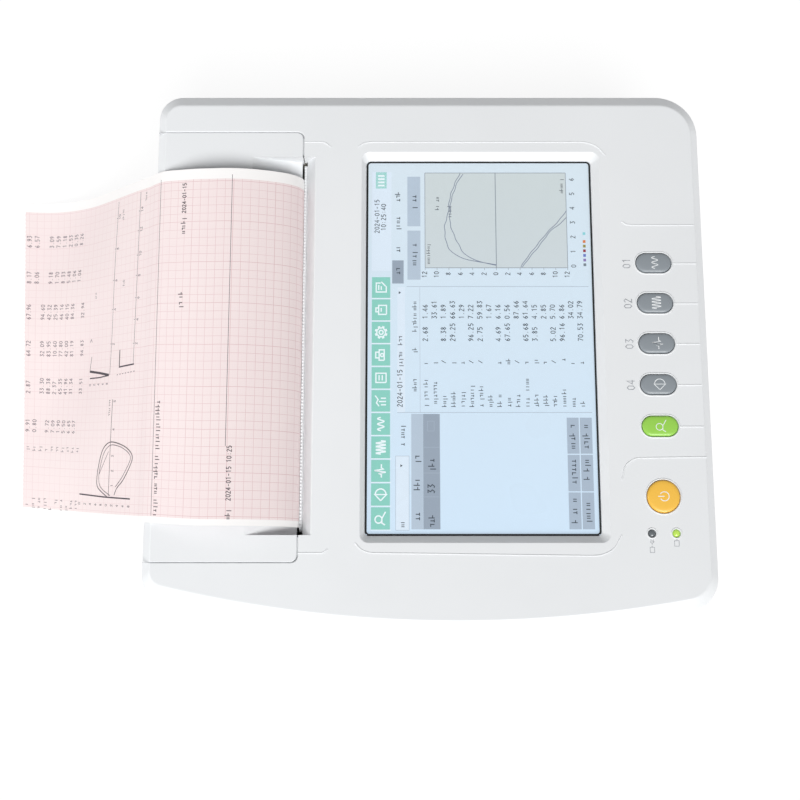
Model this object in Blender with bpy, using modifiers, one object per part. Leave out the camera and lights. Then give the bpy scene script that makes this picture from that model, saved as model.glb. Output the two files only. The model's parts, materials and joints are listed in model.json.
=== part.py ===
"""Desktop chart recorder with a tilted deck, a touch screen, six keys and a 210 mm thermal printer.

Lengths below are millimetres, and MM turns them into metres. Two empties carry everything: DECK lies in
the sloping top face (x to the right, y to the back, z out of the face), and BASE stands on the table.
"""

import bmesh
import bpy
from math import atan2, cos, degrees, pi, radians, sin, sqrt
from mathutils import Matrix, Vector

MM = 0.001
GAP = 0.3

# Placing: the box round all pieces is centred on the world origin and stands on z = 0.
SHIFT_X = 56.43
SHIFT_Y = -7.57
SLOPE = radians(4.0)
DECK_HEIGHT = 81.0

# Body plan. Each outline is (back, side, front, corner radii), and the radii are those of the front left,
# front right, back right and back left corner.
FRONT_RADIUS = 740.0
FRONT_CENTRE_X = 15.4
DECK_EDGE = (156.0, 161.0, 156.0, (9.0, 15.0, 19.0, 9.0))
CHAMFER_EDGE = (163.5, 166.0, 163.0, (13.0, 20.0, 25.0, 14.0))
WALL_EDGE = (164.1, 166.6, 163.6, (13.5, 20.5, 25.5, 14.5))
CHAMFER_DROP = 5.0
ROUND_DROP = 8.0
WALL = 2.5
PARTING_Z = -30.0
CASE_BOTTOM = 3.3
BOTTOM_CHAMFER = 4.0

# Printer lid and paper slot.
LID_FRONT = -123.0
LID_BACK = 138.7
LID_RIGHT = -76.0
LID_CORNER = 4.0
HINGE = (-164.4, -27.8)
KNUCKLE_RADIUS = 2.2
PIN_RADIUS = 1.2
GROOVE_FRONT = -107.3
GROOVE_BACK = 122.5
GROOVE_LEFT = -106.5
GROOVE_RIGHT = -68.8
GROOVE_DEPTH = 9.2

# Paper.
PAPER_WIDTH = 210.0
PAPER_CENTRE_Y = 2.4
PAPER_THICK = 0.3
ROLL_CENTRE = (-129.0, -37.0)
ROLL_RADIUS = 23.0
CORE_RADIUS = 8.5
SPINDLE_RADIUS = 6.2

# Print mechanism.
PLATEN = (-84.0, -18.5)
PLATEN_RADIUS = 7.0
SHAFT_RADIUS = 2.5
BUSH_RADIUS = 5.0
GEAR_MODULE = 1.0
PLATEN_TEETH = 16
IDLER_TEETH = 16
PINION_TEETH = 12
GEAR_FRONT = 125.0
GEAR_BACK = 130.6
MESH_SLACK = 0.12

# Screen.
SCREEN = (-37.6, 99.3, -107.4, 119.3)
LIT = (-35.1, 97.5, -104.8, 117.0)
SCREEN_BEVEL = (-40.6, 107.9, -111.8, 125.7)
BEVEL_DEPTH = 3.5
RIM_BOTTOM = -7.0

# Keys and indicator lights.
KEY_X = 134.9
KEY_YS = (55.2, 30.4, 5.7, -19.1, -43.9)
KEY_NAMES = ("key_1", "key_2", "key_3", "key_4", "key_start")
KEY_LONG = 21.5
KEY_SHORT = 12.2
POWER_KEY = (135.2, -85.1)
POWER_RADIUS = 9.65
LIGHTS = (("light_left", 127.8), ("light_right", 141.9))
LIGHT_Y = -106.3
LIGHT_RADIUS = 2.0

FEET = ((-138.0, -116.0), (138.0, -116.0), (-138.0, 138.0), (138.0, 138.0))
SCREWS = ((-112.0, -128.0), (112.0, -128.0), (-112.0, 150.0), (112.0, 150.0))
MAIN_BOARD = (-30.0, 95.0, -12.0, 112.0)
POWER_BOARD = (104.0, 156.0, 40.0, 134.0)
STUD = (-26.0, -61.0)
BATTERY_DOOR = (-26.0, 106.0, -101.0, -20.0)

COLOURS = {
    "white_plastic": ((0.86, 0.87, 0.88), 0.0, 0.38),
    "case_plastic": ((0.70, 0.71, 0.73), 0.0, 0.45),
    "panel_plastic": ((0.32, 0.33, 0.35), 0.0, 0.5),
    "tray_plastic": ((0.55, 0.56, 0.58), 0.0, 0.5),
    "grey_key": ((0.32, 0.35, 0.38), 0.0, 0.35),
    "green_key": ((0.30, 0.60, 0.12), 0.0, 0.35),
    "orange_key": ((0.95, 0.55, 0.10), 0.0, 0.35),
    "black_plastic": ((0.02, 0.02, 0.02), 0.0, 0.4),
    "glass": ((0.62, 0.74, 0.86), 0.0, 0.08),
    "lcd": ((0.60, 0.70, 0.80), 0.0, 0.3),
    "steel": ((0.60, 0.60, 0.62), 1.0, 0.35),
    "aluminium": ((0.72, 0.73, 0.75), 1.0, 0.4),
    "brass": ((0.75, 0.58, 0.25), 1.0, 0.35),
    "rubber": ((0.04, 0.04, 0.045), 0.0, 0.8),
    "gear_plastic": ((0.85, 0.84, 0.78), 0.0, 0.4),
    "board": ((0.03, 0.20, 0.10), 0.0, 0.5),
    "battery": ((0.05, 0.16, 0.38), 0.0, 0.45),
    "paper": ((0.93, 0.82, 0.80), 0.0, 0.8),
    "light_clear": ((0.55, 0.70, 0.35), 0.0, 0.2),
    "cardboard": ((0.62, 0.50, 0.36), 0.0, 0.8),
}


def clear_scene():
    for obj in list(bpy.data.objects):
        bpy.data.objects.remove(obj)


def new_collection(name):
    found = bpy.data.collections.new(name)
    bpy.context.scene.collection.children.link(found)
    return found


def new_material(name):
    colour, metallic, roughness = COLOURS[name]
    made = bpy.data.materials.new(name)
    made.use_nodes = True
    shader = made.node_tree.nodes["Principled BSDF"]
    shader.inputs["Base Color"].default_value = (*colour, 1.0)
    shader.inputs["Metallic"].default_value = metallic
    shader.inputs["Roughness"].default_value = roughness
    return made


def new_empty(name, location, tilt=0.0, parent=None):
    empty = bpy.data.objects.new(name, None)
    empty.empty_display_size = 0.02
    empty.parent = parent
    empty.location = [value * MM for value in location]
    empty.rotation_euler = (tilt, 0.0, 0.0)
    PARTS.objects.link(empty)
    return empty


clear_scene()
PARTS = new_collection("ecg_machine")
CUTTERS = new_collection("cutters")
MATERIALS = {name: new_material(name) for name in COLOURS}
DECK = new_empty("deck_frame", (SHIFT_X, SHIFT_Y, DECK_HEIGHT), SLOPE)
BASE = new_empty("base_frame", (SHIFT_X, SHIFT_Y, 0.0))
LID_FRAME = new_empty("lid_hinge_frame", (HINGE[0], 0.0, HINGE[1]), parent=DECK)
PLATEN_FRAME = new_empty("platen_frame", (PLATEN[0], 0.0, PLATEN[1]), parent=DECK)
ROLL_FRAME = new_empty("roll_frame", (ROLL_CENTRE[0], 0.0, ROLL_CENTRE[1]), parent=DECK)


# ---- shapes, each a closed shell added to a bmesh, in millimetres ----


def ring_strip(bm, rings):
    """Joins rings of equal length into one closed shell, with a cap at each end."""
    loops = [[bm.verts.new(point) for point in ring] for ring in rings]
    count = len(loops[0])
    for first, second in zip(loops, loops[1:]):
        for i in range(count):
            j = (i + 1) % count
            bm.faces.new((first[i], first[j], second[j], second[i]))
    bm.faces.new(loops[0][::-1])
    bm.faces.new(loops[-1])


def box(bm, x0, x1, y0, y1, z0, z1):
    place = Matrix.Translation(((x0 + x1) / 2, (y0 + y1) / 2, (z0 + z1) / 2))
    bmesh.ops.create_cube(bm, size=1.0, matrix=place @ Matrix.Diagonal((x1 - x0, y1 - y0, z1 - z0, 1.0)))


def rod_z(bm, centre, radius, z0, z1, sides=24):
    """A cylinder along z about the line through centre (x, y)."""
    place = Matrix.Translation((*centre, (z0 + z1) / 2))
    bmesh.ops.create_cone(
        bm, cap_ends=True, segments=sides, radius1=radius, radius2=radius, depth=z1 - z0, matrix=place
    )


def rod_y(bm, centre, radius, y0, y1, sides=24):
    """A cylinder along y about the line through centre (x, z)."""
    place = Matrix.Translation((centre[0], (y0 + y1) / 2, centre[1])) @ Matrix.Rotation(pi / 2, 4, "X")
    bmesh.ops.create_cone(
        bm, cap_ends=True, segments=sides, radius1=radius, radius2=radius, depth=y1 - y0, matrix=place
    )


def extrude(bm, points, depth):
    face = bm.faces.new([bm.verts.new(point) for point in points])
    pushed = bmesh.ops.extrude_face_region(bm, geom=[face])["geom"]
    moved = [item for item in pushed if isinstance(item, bmesh.types.BMVert)]
    bmesh.ops.translate(bm, verts=moved, vec=depth)


def prism_z(bm, points, z0, z1):
    """A plan outline in x and y, extruded between two heights."""
    extrude(bm, [(x, y, z0) for x, y in points], (0.0, 0.0, z1 - z0))


def prism_y(bm, points, y0, y1):
    """An outline in x and z, extruded from y0 to y1."""
    extrude(bm, [(x, y0, z) for x, z in points], (0.0, y1 - y0, 0.0))


def rounded_box(x0, x1, y0, y1, radius, steps=5):
    """A plan outline with four round corners."""
    corners = (
        (x1 - radius, y0 + radius, -90.0),
        (x1 - radius, y1 - radius, 0.0),
        (x0 + radius, y1 - radius, 90.0),
        (x0 + radius, y0 + radius, 180.0),
    )
    points = []
    for cx, cy, start in corners:
        for i in range(steps + 1):
            turn = radians(start + 90.0 * i / steps)
            points.append((cx + radius * cos(turn), cy + radius * sin(turn)))
    return points


def shrink(edge, by):
    back, side, front, radii = edge
    return (back - by, side - by, front - by, tuple(max(r - by, 1.0) for r in radii))


def outline(edge, corner_steps=7, front_steps=18):
    """The body's plan: straight back and sides, a bowed front, and a round corner at each end of them."""
    back, side, front, (front_left, front_right, back_right, back_left) = edge
    bow_y = FRONT_RADIUS - front
    reach_left = FRONT_RADIUS - front_left
    reach_right = FRONT_RADIUS - front_right
    left_x = -side + front_left
    right_x = side - front_right
    left_y = bow_y - sqrt(reach_left**2 - (left_x - FRONT_CENTRE_X) ** 2)
    right_y = bow_y - sqrt(reach_right**2 - (right_x - FRONT_CENTRE_X) ** 2)
    left_turn = degrees(atan2(left_y - bow_y, left_x - FRONT_CENTRE_X)) % 360.0
    right_turn = degrees(atan2(right_y - bow_y, right_x - FRONT_CENTRE_X)) % 360.0
    points = []

    def sweep(cx, cy, radius, start, end, steps, ends=True):
        for i in range(0 if ends else 1, steps + 1 if ends else steps):
            turn = radians(start + (end - start) * i / steps)
            points.append((cx + radius * cos(turn), cy + radius * sin(turn)))

    sweep(left_x, left_y, front_left, 180.0, left_turn, corner_steps)
    sweep(FRONT_CENTRE_X, bow_y, FRONT_RADIUS, left_turn, right_turn, front_steps, ends=False)
    sweep(right_x, right_y, front_right, right_turn, 360.0, corner_steps)
    sweep(side - back_right, back - back_right, back_right, 0.0, 90.0, corner_steps)
    sweep(-side + back_left, back - back_left, back_left, 90.0, 180.0, corner_steps)
    return points


def floor_z(y, height):
    """Deck z of the level plane that is height above the table, below deck position y."""
    return (height - DECK_HEIGHT - y * sin(SLOPE)) / cos(SLOPE)


def ring_at(edge, z):
    return [(x, y, z) for x, y in outline(edge)]


def ring_above_floor(edge, height):
    return [(x, y, floor_z(y, height)) for x, y in outline(edge)]


# ---- objects ----


def finish(bm, name, frame, collection):
    bmesh.ops.recalc_face_normals(bm, faces=bm.faces)
    origin = Vector((0.0, 0.0, 0.0))
    if frame.parent:
        origin = frame.location / MM
    bmesh.ops.translate(bm, verts=bm.verts, vec=-origin)
    bmesh.ops.scale(bm, verts=bm.verts, vec=(MM, MM, MM))
    mesh = bpy.data.meshes.new(name)
    bm.to_mesh(mesh)
    bm.free()
    obj = bpy.data.objects.new(name, mesh)
    obj.parent = frame
    collection.objects.link(obj)
    return obj


def part(name, material, frame, *shapes):
    """A visible piece made of the first shape. Each further shape is joined to it."""
    bm = bmesh.new()
    shapes[0](bm)
    obj = finish(bm, name, frame, PARTS)
    obj.data.materials.append(MATERIALS[material])
    for i, shape in enumerate(shapes[1:]):
        combine(obj, "UNION", f"{name}_join_{i}", shape)
    return obj


def combine(obj, operation, name, shape, frame=None):
    bm = bmesh.new()
    shape(bm)
    tool = finish(bm, name, frame or obj.parent, CUTTERS)
    tool.hide_render = True
    tool.display_type = "WIRE"
    change = obj.modifiers.new(name, "BOOLEAN")
    change.operation = operation
    change.solver = "EXACT"
    change.object = tool


def cut(obj, name, shape, frame=None):
    combine(obj, "DIFFERENCE", f"cut_{name}", shape, frame)


def turned(name, material, frame, axis, centre, profile, sides=32, hollow=False):
    """A profile of (distance along the axis, radius) points, turned about the axis through centre.

    A solid profile starts and ends on the axis. A hollow one is a closed loop away from it.
    """
    mesh = bpy.data.meshes.new(name)
    points = list(profile) if hollow else [(profile[0][0], 0.0), *profile, (profile[-1][0], 0.0)]
    if axis == "Y":
        corners = [(radius * MM, along * MM, 0.0) for along, radius in points]
        place = Vector((centre[0], 0.0, centre[1]))
    else:
        corners = [(radius * MM, 0.0, along * MM) for along, radius in points]
        place = Vector((*centre, 0.0))
    edges = [(i, i + 1) for i in range(len(corners) - 1)]
    if hollow:
        edges.append((len(corners) - 1, 0))
    mesh.from_pydata(corners, edges, [])
    obj = bpy.data.objects.new(name, mesh)
    obj.parent = frame
    obj.location = place * MM
    if frame.parent:
        obj.location -= frame.location
    PARTS.objects.link(obj)
    mesh.materials.append(MATERIALS[material])
    screw = obj.modifiers.new("turn", "SCREW")
    screw.axis = axis
    screw.steps = sides
    screw.render_steps = sides
    screw.use_merge_vertices = True
    screw.merge_threshold = 0.00001
    screw.use_smooth_shade = True
    screw.use_normal_flip = True
    return obj


def tube(name, material, frame, centre, inner, outer, y0, y1, sides=32):
    profile = [(y0, inner), (y0, outer), (y1, outer), (y1, inner)]
    return turned(name, material, frame, "Y", centre, profile, sides, hollow=True)


def smooth(obj, angle=35.0):
    """Shades the faces round, and keeps a crisp line at each edge sharper than the angle."""
    mesh = obj.data
    bm = bmesh.new()
    bm.from_mesh(mesh)
    for face in bm.faces:
        face.smooth = True
    for edge in bm.edges:
        if len(edge.link_faces) == 2 and edge.calc_face_angle() > radians(angle):
            edge.smooth = False
    bm.to_mesh(mesh)
    bm.free()


# ---- housing ----


def body_solid(bm):
    ring_strip(
        bm,
        [
            ring_at(WALL_EDGE, PARTING_Z),
            ring_at(WALL_EDGE, -ROUND_DROP),
            ring_at(CHAMFER_EDGE, -CHAMFER_DROP),
            ring_at(DECK_EDGE, 0.0),
        ],
    )


def body_cavity(bm):
    ring_strip(
        bm,
        [
            ring_at(shrink(WALL_EDGE, WALL), PARTING_Z - 2.0),
            ring_at(shrink(WALL_EDGE, WALL), -9.0),
            ring_at(shrink(CHAMFER_EDGE, WALL), -6.8),
            ring_at(shrink(DECK_EDGE, 1.2), -WALL),
        ],
    )


def screen_hole(bm):
    x0, x1, y0, y1 = SCREEN
    bx0, bx1, by0, by1 = SCREEN_BEVEL
    over = 1.0 / BEVEL_DEPTH

    def rectangle(a, b, c, d, z, radius):
        return [(x, y, z) for x, y in rounded_box(a, b, c, d, radius, 3)]

    ring_strip(
        bm,
        [
            rectangle(x0 - GAP, x1 + GAP, y0 - GAP, y1 + GAP, RIM_BOTTOM - 2.0, 1.0),
            rectangle(x0 - GAP, x1 + GAP, y0 - GAP, y1 + GAP, -BEVEL_DEPTH, 1.0),
            rectangle(
                bx0 - (x0 - bx0) * over,
                bx1 + (bx1 - x1) * over,
                by0 - (y0 - by0) * over,
                by1 + (by1 - y1) * over,
                1.0,
                4.0,
            ),
        ],
    )


def lid_opening(bm):
    points = rounded_box(-180.0, LID_RIGHT, LID_FRONT, LID_BACK, LID_CORNER)
    prism_z(bm, points, PARTING_Z - 2.0, 2.0)


def pill(cx, cy, grow):
    return rounded_box(
        cx - KEY_LONG / 2 - grow,
        cx + KEY_LONG / 2 + grow,
        cy - KEY_SHORT / 2 - grow,
        cy + KEY_SHORT / 2 + grow,
        KEY_SHORT / 2 + grow - 0.01,
        7,
    )


def key_holes(bm):
    for y in KEY_YS:
        prism_z(bm, pill(KEY_X, y, GAP), -8.0, 1.0)
    rod_z(bm, POWER_KEY, POWER_RADIUS + GAP, -8.0, 1.0, 48)
    for _, x in LIGHTS:
        rod_z(bm, (x, LIGHT_Y), LIGHT_RADIUS + GAP, -8.0, 1.0, 20)


def hinge_holes(bm):
    for y0, y1 in ((LID_FRONT - 4.5, LID_FRONT + 5.0), (LID_BACK - 5.0, LID_BACK + 4.5)):
        rod_y(bm, HINGE, PIN_RADIUS + GAP, y0, y1, 16)


def make_top_cover():
    groove_lip = [
        (GROOVE_RIGHT, 0.0),
        (GROOVE_RIGHT, -3.2),
        (-72.8, -GROOVE_DEPTH - 0.4),
        (-74.3, -GROOVE_DEPTH + 0.6),
    ]
    cover = part("top_cover", "white_plastic", DECK, body_solid)
    cut(cover, "cover_cavity", body_cavity)
    cut(cover, "lid_opening", lid_opening)

    def groove_window(bm):
        box(bm, LID_RIGHT - 1.0, GROOVE_RIGHT - 0.2, GROOVE_FRONT, GROOVE_BACK, -20.0, 1.0)

    cut(cover, "cover_groove", groove_window)

    def lip(bm):
        prism_y(bm, groove_lip, GROOVE_FRONT - 1.0, GROOVE_BACK + 1.0)

    combine(cover, "UNION", "cover_lip", lip)

    def end_wall(y0, y1):
        return lambda bm: box(bm, LID_RIGHT + 0.01, GROOVE_RIGHT, y0, y1, -GROOVE_DEPTH - 0.6, -1.0)

    combine(cover, "UNION", "cover_end_front", end_wall(GROOVE_FRONT - 1.8, GROOVE_FRONT))
    combine(cover, "UNION", "cover_end_back", end_wall(GROOVE_BACK, GROOVE_BACK + 1.8))

    def screen_rim(bm):
        box(bm, -46.0, 113.0, -117.0, 131.0, RIM_BOTTOM, -1.0)

    def key_rim(bm):
        box(bm, 120.5, 149.5, -111.5, 64.0, -5.0, -1.0)

    def boss(y0, y1):
        return lambda bm: box(bm, -165.4, -158.0, y0, y1, PARTING_Z, -22.5)

    combine(cover, "UNION", "screen_rim", screen_rim)
    combine(cover, "UNION", "key_rim", key_rim)
    combine(cover, "UNION", "boss_front", boss(LID_FRONT - 6.0, LID_FRONT))
    combine(cover, "UNION", "boss_back", boss(LID_BACK, LID_BACK + 6.0))
    cut(cover, "screen_hole", screen_hole)
    cut(cover, "key_holes", key_holes)
    cut(cover, "cover_hinge", hinge_holes)
    smooth(cover, 28.0)


def make_lid():
    lid = part("printer_lid", "white_plastic", LID_FRAME, body_solid)
    right = LID_RIGHT - 0.6

    def region(bm):
        points = rounded_box(-180.0, right, LID_FRONT + GAP, LID_BACK - GAP, LID_CORNER)
        prism_z(bm, points, -28.0, 2.0)

    combine(lid, "INTERSECT", "lid_region", region)
    cut(lid, "lid_cavity", body_cavity)

    def groove_window(bm):
        box(bm, GROOVE_LEFT + 0.2, right + 1.0, GROOVE_FRONT, GROOVE_BACK, -20.0, 1.0)

    cut(lid, "lid_groove", groove_window)

    def slope(bm):
        points = [
            (GROOVE_LEFT, 0.0),
            (-77.6, -GROOVE_DEPTH),
            (-77.6, -GROOVE_DEPTH - 2.6),
            (GROOVE_LEFT, -2.4),
        ]
        prism_y(bm, points, GROOVE_FRONT - 1.0, GROOVE_BACK + 1.0)

    combine(lid, "UNION", "lid_slope", slope)

    def end_wall(y0, y1):
        return lambda bm: box(bm, GROOVE_LEFT + 6.0, right - 0.01, y0, y1, -GROOVE_DEPTH - 2.6, -1.0)

    combine(lid, "UNION", "lid_end_front", end_wall(GROOVE_FRONT - 1.8, GROOVE_FRONT))
    combine(lid, "UNION", "lid_end_back", end_wall(GROOVE_BACK, GROOVE_BACK + 1.8))

    def bracket(y0, y1):
        left = [(-98.0, -1.8), (-98.0, -12.0), (-91.0, -25.0)]
        points = left + [(-80.0, -25.5), (-77.6, -22.0), (-77.6, -10.0)]
        return lambda bm: prism_y(bm, points[::-1], y0, y1)

    combine(lid, "UNION", "bracket_front", bracket(-111.5, -108.6))
    combine(lid, "UNION", "bracket_back", bracket(112.0, 115.0))

    def knuckle(bm):
        rod_y(bm, HINGE, KNUCKLE_RADIUS, LID_FRONT + GAP, LID_BACK - GAP, 24)

    combine(lid, "UNION", "knuckle", knuckle)

    def bush_holes(bm):
        rod_y(bm, PLATEN, BUSH_RADIUS + GAP, -115.0, -106.0, 28)
        rod_y(bm, PLATEN, BUSH_RADIUS + GAP, 109.5, 117.5, 28)

    cut(lid, "bush_holes", bush_holes)
    cut(lid, "lid_hinge", hinge_holes)

    def stiffener(x):
        return lambda bm: box(bm, x, x + 1.6, LID_FRONT + 3.0, LID_BACK - 3.0, -6.0, -1.8)

    for x in (-150.0, -120.0):
        combine(lid, "UNION", f"lid_rib_{int(-x)}", stiffener(x))
    smooth(lid, 28.0)


def make_bottom_case():
    def outer(bm):
        ring_strip(
            bm,
            [
                ring_above_floor(shrink(WALL_EDGE, BOTTOM_CHAMFER), CASE_BOTTOM),
                ring_above_floor(WALL_EDGE, CASE_BOTTOM + BOTTOM_CHAMFER),
                ring_at(WALL_EDGE, PARTING_Z - GAP),
            ],
        )

    def inner(bm):
        ring_strip(
            bm,
            [
                ring_above_floor(shrink(WALL_EDGE, BOTTOM_CHAMFER + 1.5), CASE_BOTTOM + 2.7),
                ring_above_floor(shrink(WALL_EDGE, WALL), CASE_BOTTOM + BOTTOM_CHAMFER + 1.4),
                ring_at(shrink(WALL_EDGE, WALL), PARTING_Z + 2.0),
            ],
        )

    case = part("bottom_case", "case_plastic", DECK, outer)
    cut(case, "case_cavity", inner)

    def posts(bm):
        for x, y in SCREWS:
            rod_z(bm, (x, y), 4.5, CASE_BOTTOM + 1.0, 19.0, 20)
        for x0, x1, y0, y1, top in ((*MAIN_BOARD, 37.5), (*POWER_BOARD, 22.5)):
            for x in (x0 + 5.0, x1 - 5.0):
                for y in (y0 + 5.0, y1 - 5.0):
                    rod_z(bm, (x, y), 3.0, CASE_BOTTOM + 1.0, top, 12)

    combine(case, "UNION", "case_posts", posts, BASE)

    def screw_holes(bm):
        for x, y in SCREWS:
            rod_z(bm, (x, y), 1.7, 2.0, 30.0, 16)

    def below(bm):
        for x, y in SCREWS:
            rod_z(bm, (x, y), 3.7, 0.0, 5.9, 20)
        box(bm, *BATTERY_DOOR, 0.0, 8.0)
        for i in range(5):
            y = -96.0 + 6.0 * i
            box(bm, 122.0, 146.0, y, y + 2.5, 0.0, 8.0)

    cut(case, "case_screw_holes", screw_holes, BASE)
    cut(case, "case_below", below, BASE)

    def sides(bm):
        box(bm, -40.0, 150.0, 158.0, 168.0, -80.0, -40.0)
        for i in range(9):
            y = 30.0 + 7.0 * i
            box(bm, 160.0, 170.0, y, y + 3.0, -58.0, -40.0)

    cut(case, "case_sides", sides)
    smooth(case, 28.0)


def make_rear():
    def plate(bm):
        box(bm, -40.0 + GAP, 150.0 - GAP, 161.9, 163.7, -80.0 + GAP, -40.0 - GAP)

    panel = part("rear_panel", "panel_plastic", DECK, plate)

    def windows(bm):
        box(bm, 111.7, 142.3, 155.0, 170.0, -70.3, -49.7)
        box(bm, 49.7, 90.3, 155.0, 170.0, -66.3, -53.7)
        box(bm, 14.7, 31.3, 155.0, 170.0, -68.3, -53.7)
        box(bm, -8.3, 6.3, 155.0, 170.0, -66.3, -58.7)
        rod_y(bm, STUD, 3.3, 155.0, 170.0, 20)

    cut(panel, "panel_windows", windows)

    def inlet_body(bm):
        box(bm, 112.0, 142.0, 141.0, 165.5, -70.0, -50.0)

    def inlet_flange(bm):
        prism_y(bm, rounded_box(108.5, 145.5, -73.5, -46.5, 3.0, 4), 164.4, 166.6)

    inlet = part("ac_inlet", "black_plastic", DECK, inlet_body, inlet_flange)

    def inlet_cavity(bm):
        right = [(139.0, -68.0), (139.0, -57.0), (134.0, -52.0)]
        points = right + [(120.0, -52.0), (115.0, -57.0), (115.0, -68.0)]
        prism_y(bm, points, 150.0, 170.0)

    cut(inlet, "inlet_cavity", inlet_cavity)

    def inlet_pins(bm):
        for x, z in ((120.5, -62.5), (127.0, -58.5), (133.5, -62.5)):
            box(bm, x - 0.9, x + 0.9, 148.0, 160.5, z - 2.2, z + 2.2)

    combine(inlet, "UNION", "inlet_pins", inlet_pins)

    def shell(bm):
        box(bm, 50.0, 90.0, 150.0, 163.0, -66.0, -54.0)

    def shell_nose(bm):
        prism_y(bm, [(56.0, -64.5), (84.0, -64.5), (86.5, -55.5), (53.5, -55.5)], 162.0, 168.0)

    patient = part("patient_socket", "steel", DECK, shell, shell_nose)

    def contacts(bm):
        for row, (z, first, count) in enumerate(((-61.8, 60.0, 7), (-58.2, 58.5, 8))):
            for i in range(count):
                rod_y(bm, (first + 3.2 * i, z), 0.7, 164.0 + row * 0.01, 170.0, 8)

    cut(patient, "patient_contacts", contacts)

    def lan_body(bm):
        box(bm, 15.0, 31.0, 147.0, 165.0, -68.0, -54.0)

    lan = part("lan_socket", "steel", DECK, lan_body)

    def lan_cavity(bm):
        points = [(17.0, -64.0), (20.0, -66.0), (26.0, -66.0), (29.0, -64.0), (29.0, -56.5), (17.0, -56.5)]
        prism_y(bm, points, 153.0, 170.0)

    cut(lan, "lan_cavity", lan_cavity)

    def usb_body(bm):
        box(bm, -8.0, 6.0, 147.0, 164.6, -66.0, -59.0)

    usb = part("usb_socket", "steel", DECK, usb_body)

    def usb_cavity(bm):
        box(bm, -7.2, 5.2, 152.0, 170.0, -65.2, -59.8)

    cut(usb, "usb_cavity", usb_cavity)

    def usb_tongue(bm):
        box(bm, -6.2, 4.2, 151.0, 162.5, -61.4, -60.2)

    combine(usb, "UNION", "usb_tongue", usb_tongue)

    stud = [(154.0, 3.0), (164.0, 3.0), (164.0, 6.0), (166.5, 6.0), (166.5, 2.8), (173.0, 2.8), (173.8, 2.0)]
    turned("ground_stud", "brass", DECK, "Y", STUD, stud, 24)


# ---- printer ----


def tooth_angle(first, second):
    return degrees(atan2(second[1] - first[1], second[0] - first[0]))


def gear_outline(centre, teeth, phase):
    """Straight-flanked teeth, one of them centred on the phase angle, in x and z."""
    pitch_radius = GEAR_MODULE * teeth / 2
    levels = ((pitch_radius - 1.2, 0.30), (pitch_radius, 0.215), (pitch_radius + 0.9, 0.11))
    step = 360.0 / teeth
    points = []
    for k in range(teeth):
        middle = phase + step * k
        flank = [(r, middle - step * half) for r, half in levels]
        flank += [(r, middle + step * half) for r, half in reversed(levels)]
        for r, turn in flank:
            points.append((centre[0] + r * cos(radians(turn)), centre[1] + r * sin(radians(turn))))
    return points


def idler_centre():
    """Below the platen gear, against the way that the gear leaves when the lid starts to rise."""
    reach = (PLATEN[0] - HINGE[0], PLATEN[1] - HINGE[1])
    length = sqrt(reach[0] ** 2 + reach[1] ** 2)
    away = (-reach[1] / length, reach[0] / length)
    spacing = GEAR_MODULE * (PLATEN_TEETH + IDLER_TEETH) / 2 + MESH_SLACK
    return (PLATEN[0] - away[0] * spacing, PLATEN[1] - away[1] * spacing)


IDLER = idler_centre()
IDLER_PHASE = tooth_angle(IDLER, PLATEN) + 180.0 / IDLER_TEETH
PINION_TURN = IDLER_PHASE - 6 * 360.0 / IDLER_TEETH
PINION_SPACING = GEAR_MODULE * (IDLER_TEETH + PINION_TEETH) / 2 + MESH_SLACK
PINION = (
    IDLER[0] + PINION_SPACING * cos(radians(PINION_TURN)),
    IDLER[1] + PINION_SPACING * sin(radians(PINION_TURN)),
)


def make_gear(name, centre, teeth, phase, bore, frame):
    def wheel(bm):
        prism_y(bm, gear_outline(centre, teeth, phase), GEAR_FRONT, GEAR_BACK)

    def hole(bm):
        rod_y(bm, centre, bore, GEAR_FRONT - 1.0, GEAR_BACK + 1.0, 20)

    gear = part(name, "gear_plastic", frame, wheel)
    cut(gear, f"{name}_bore", hole)
    return gear


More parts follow.
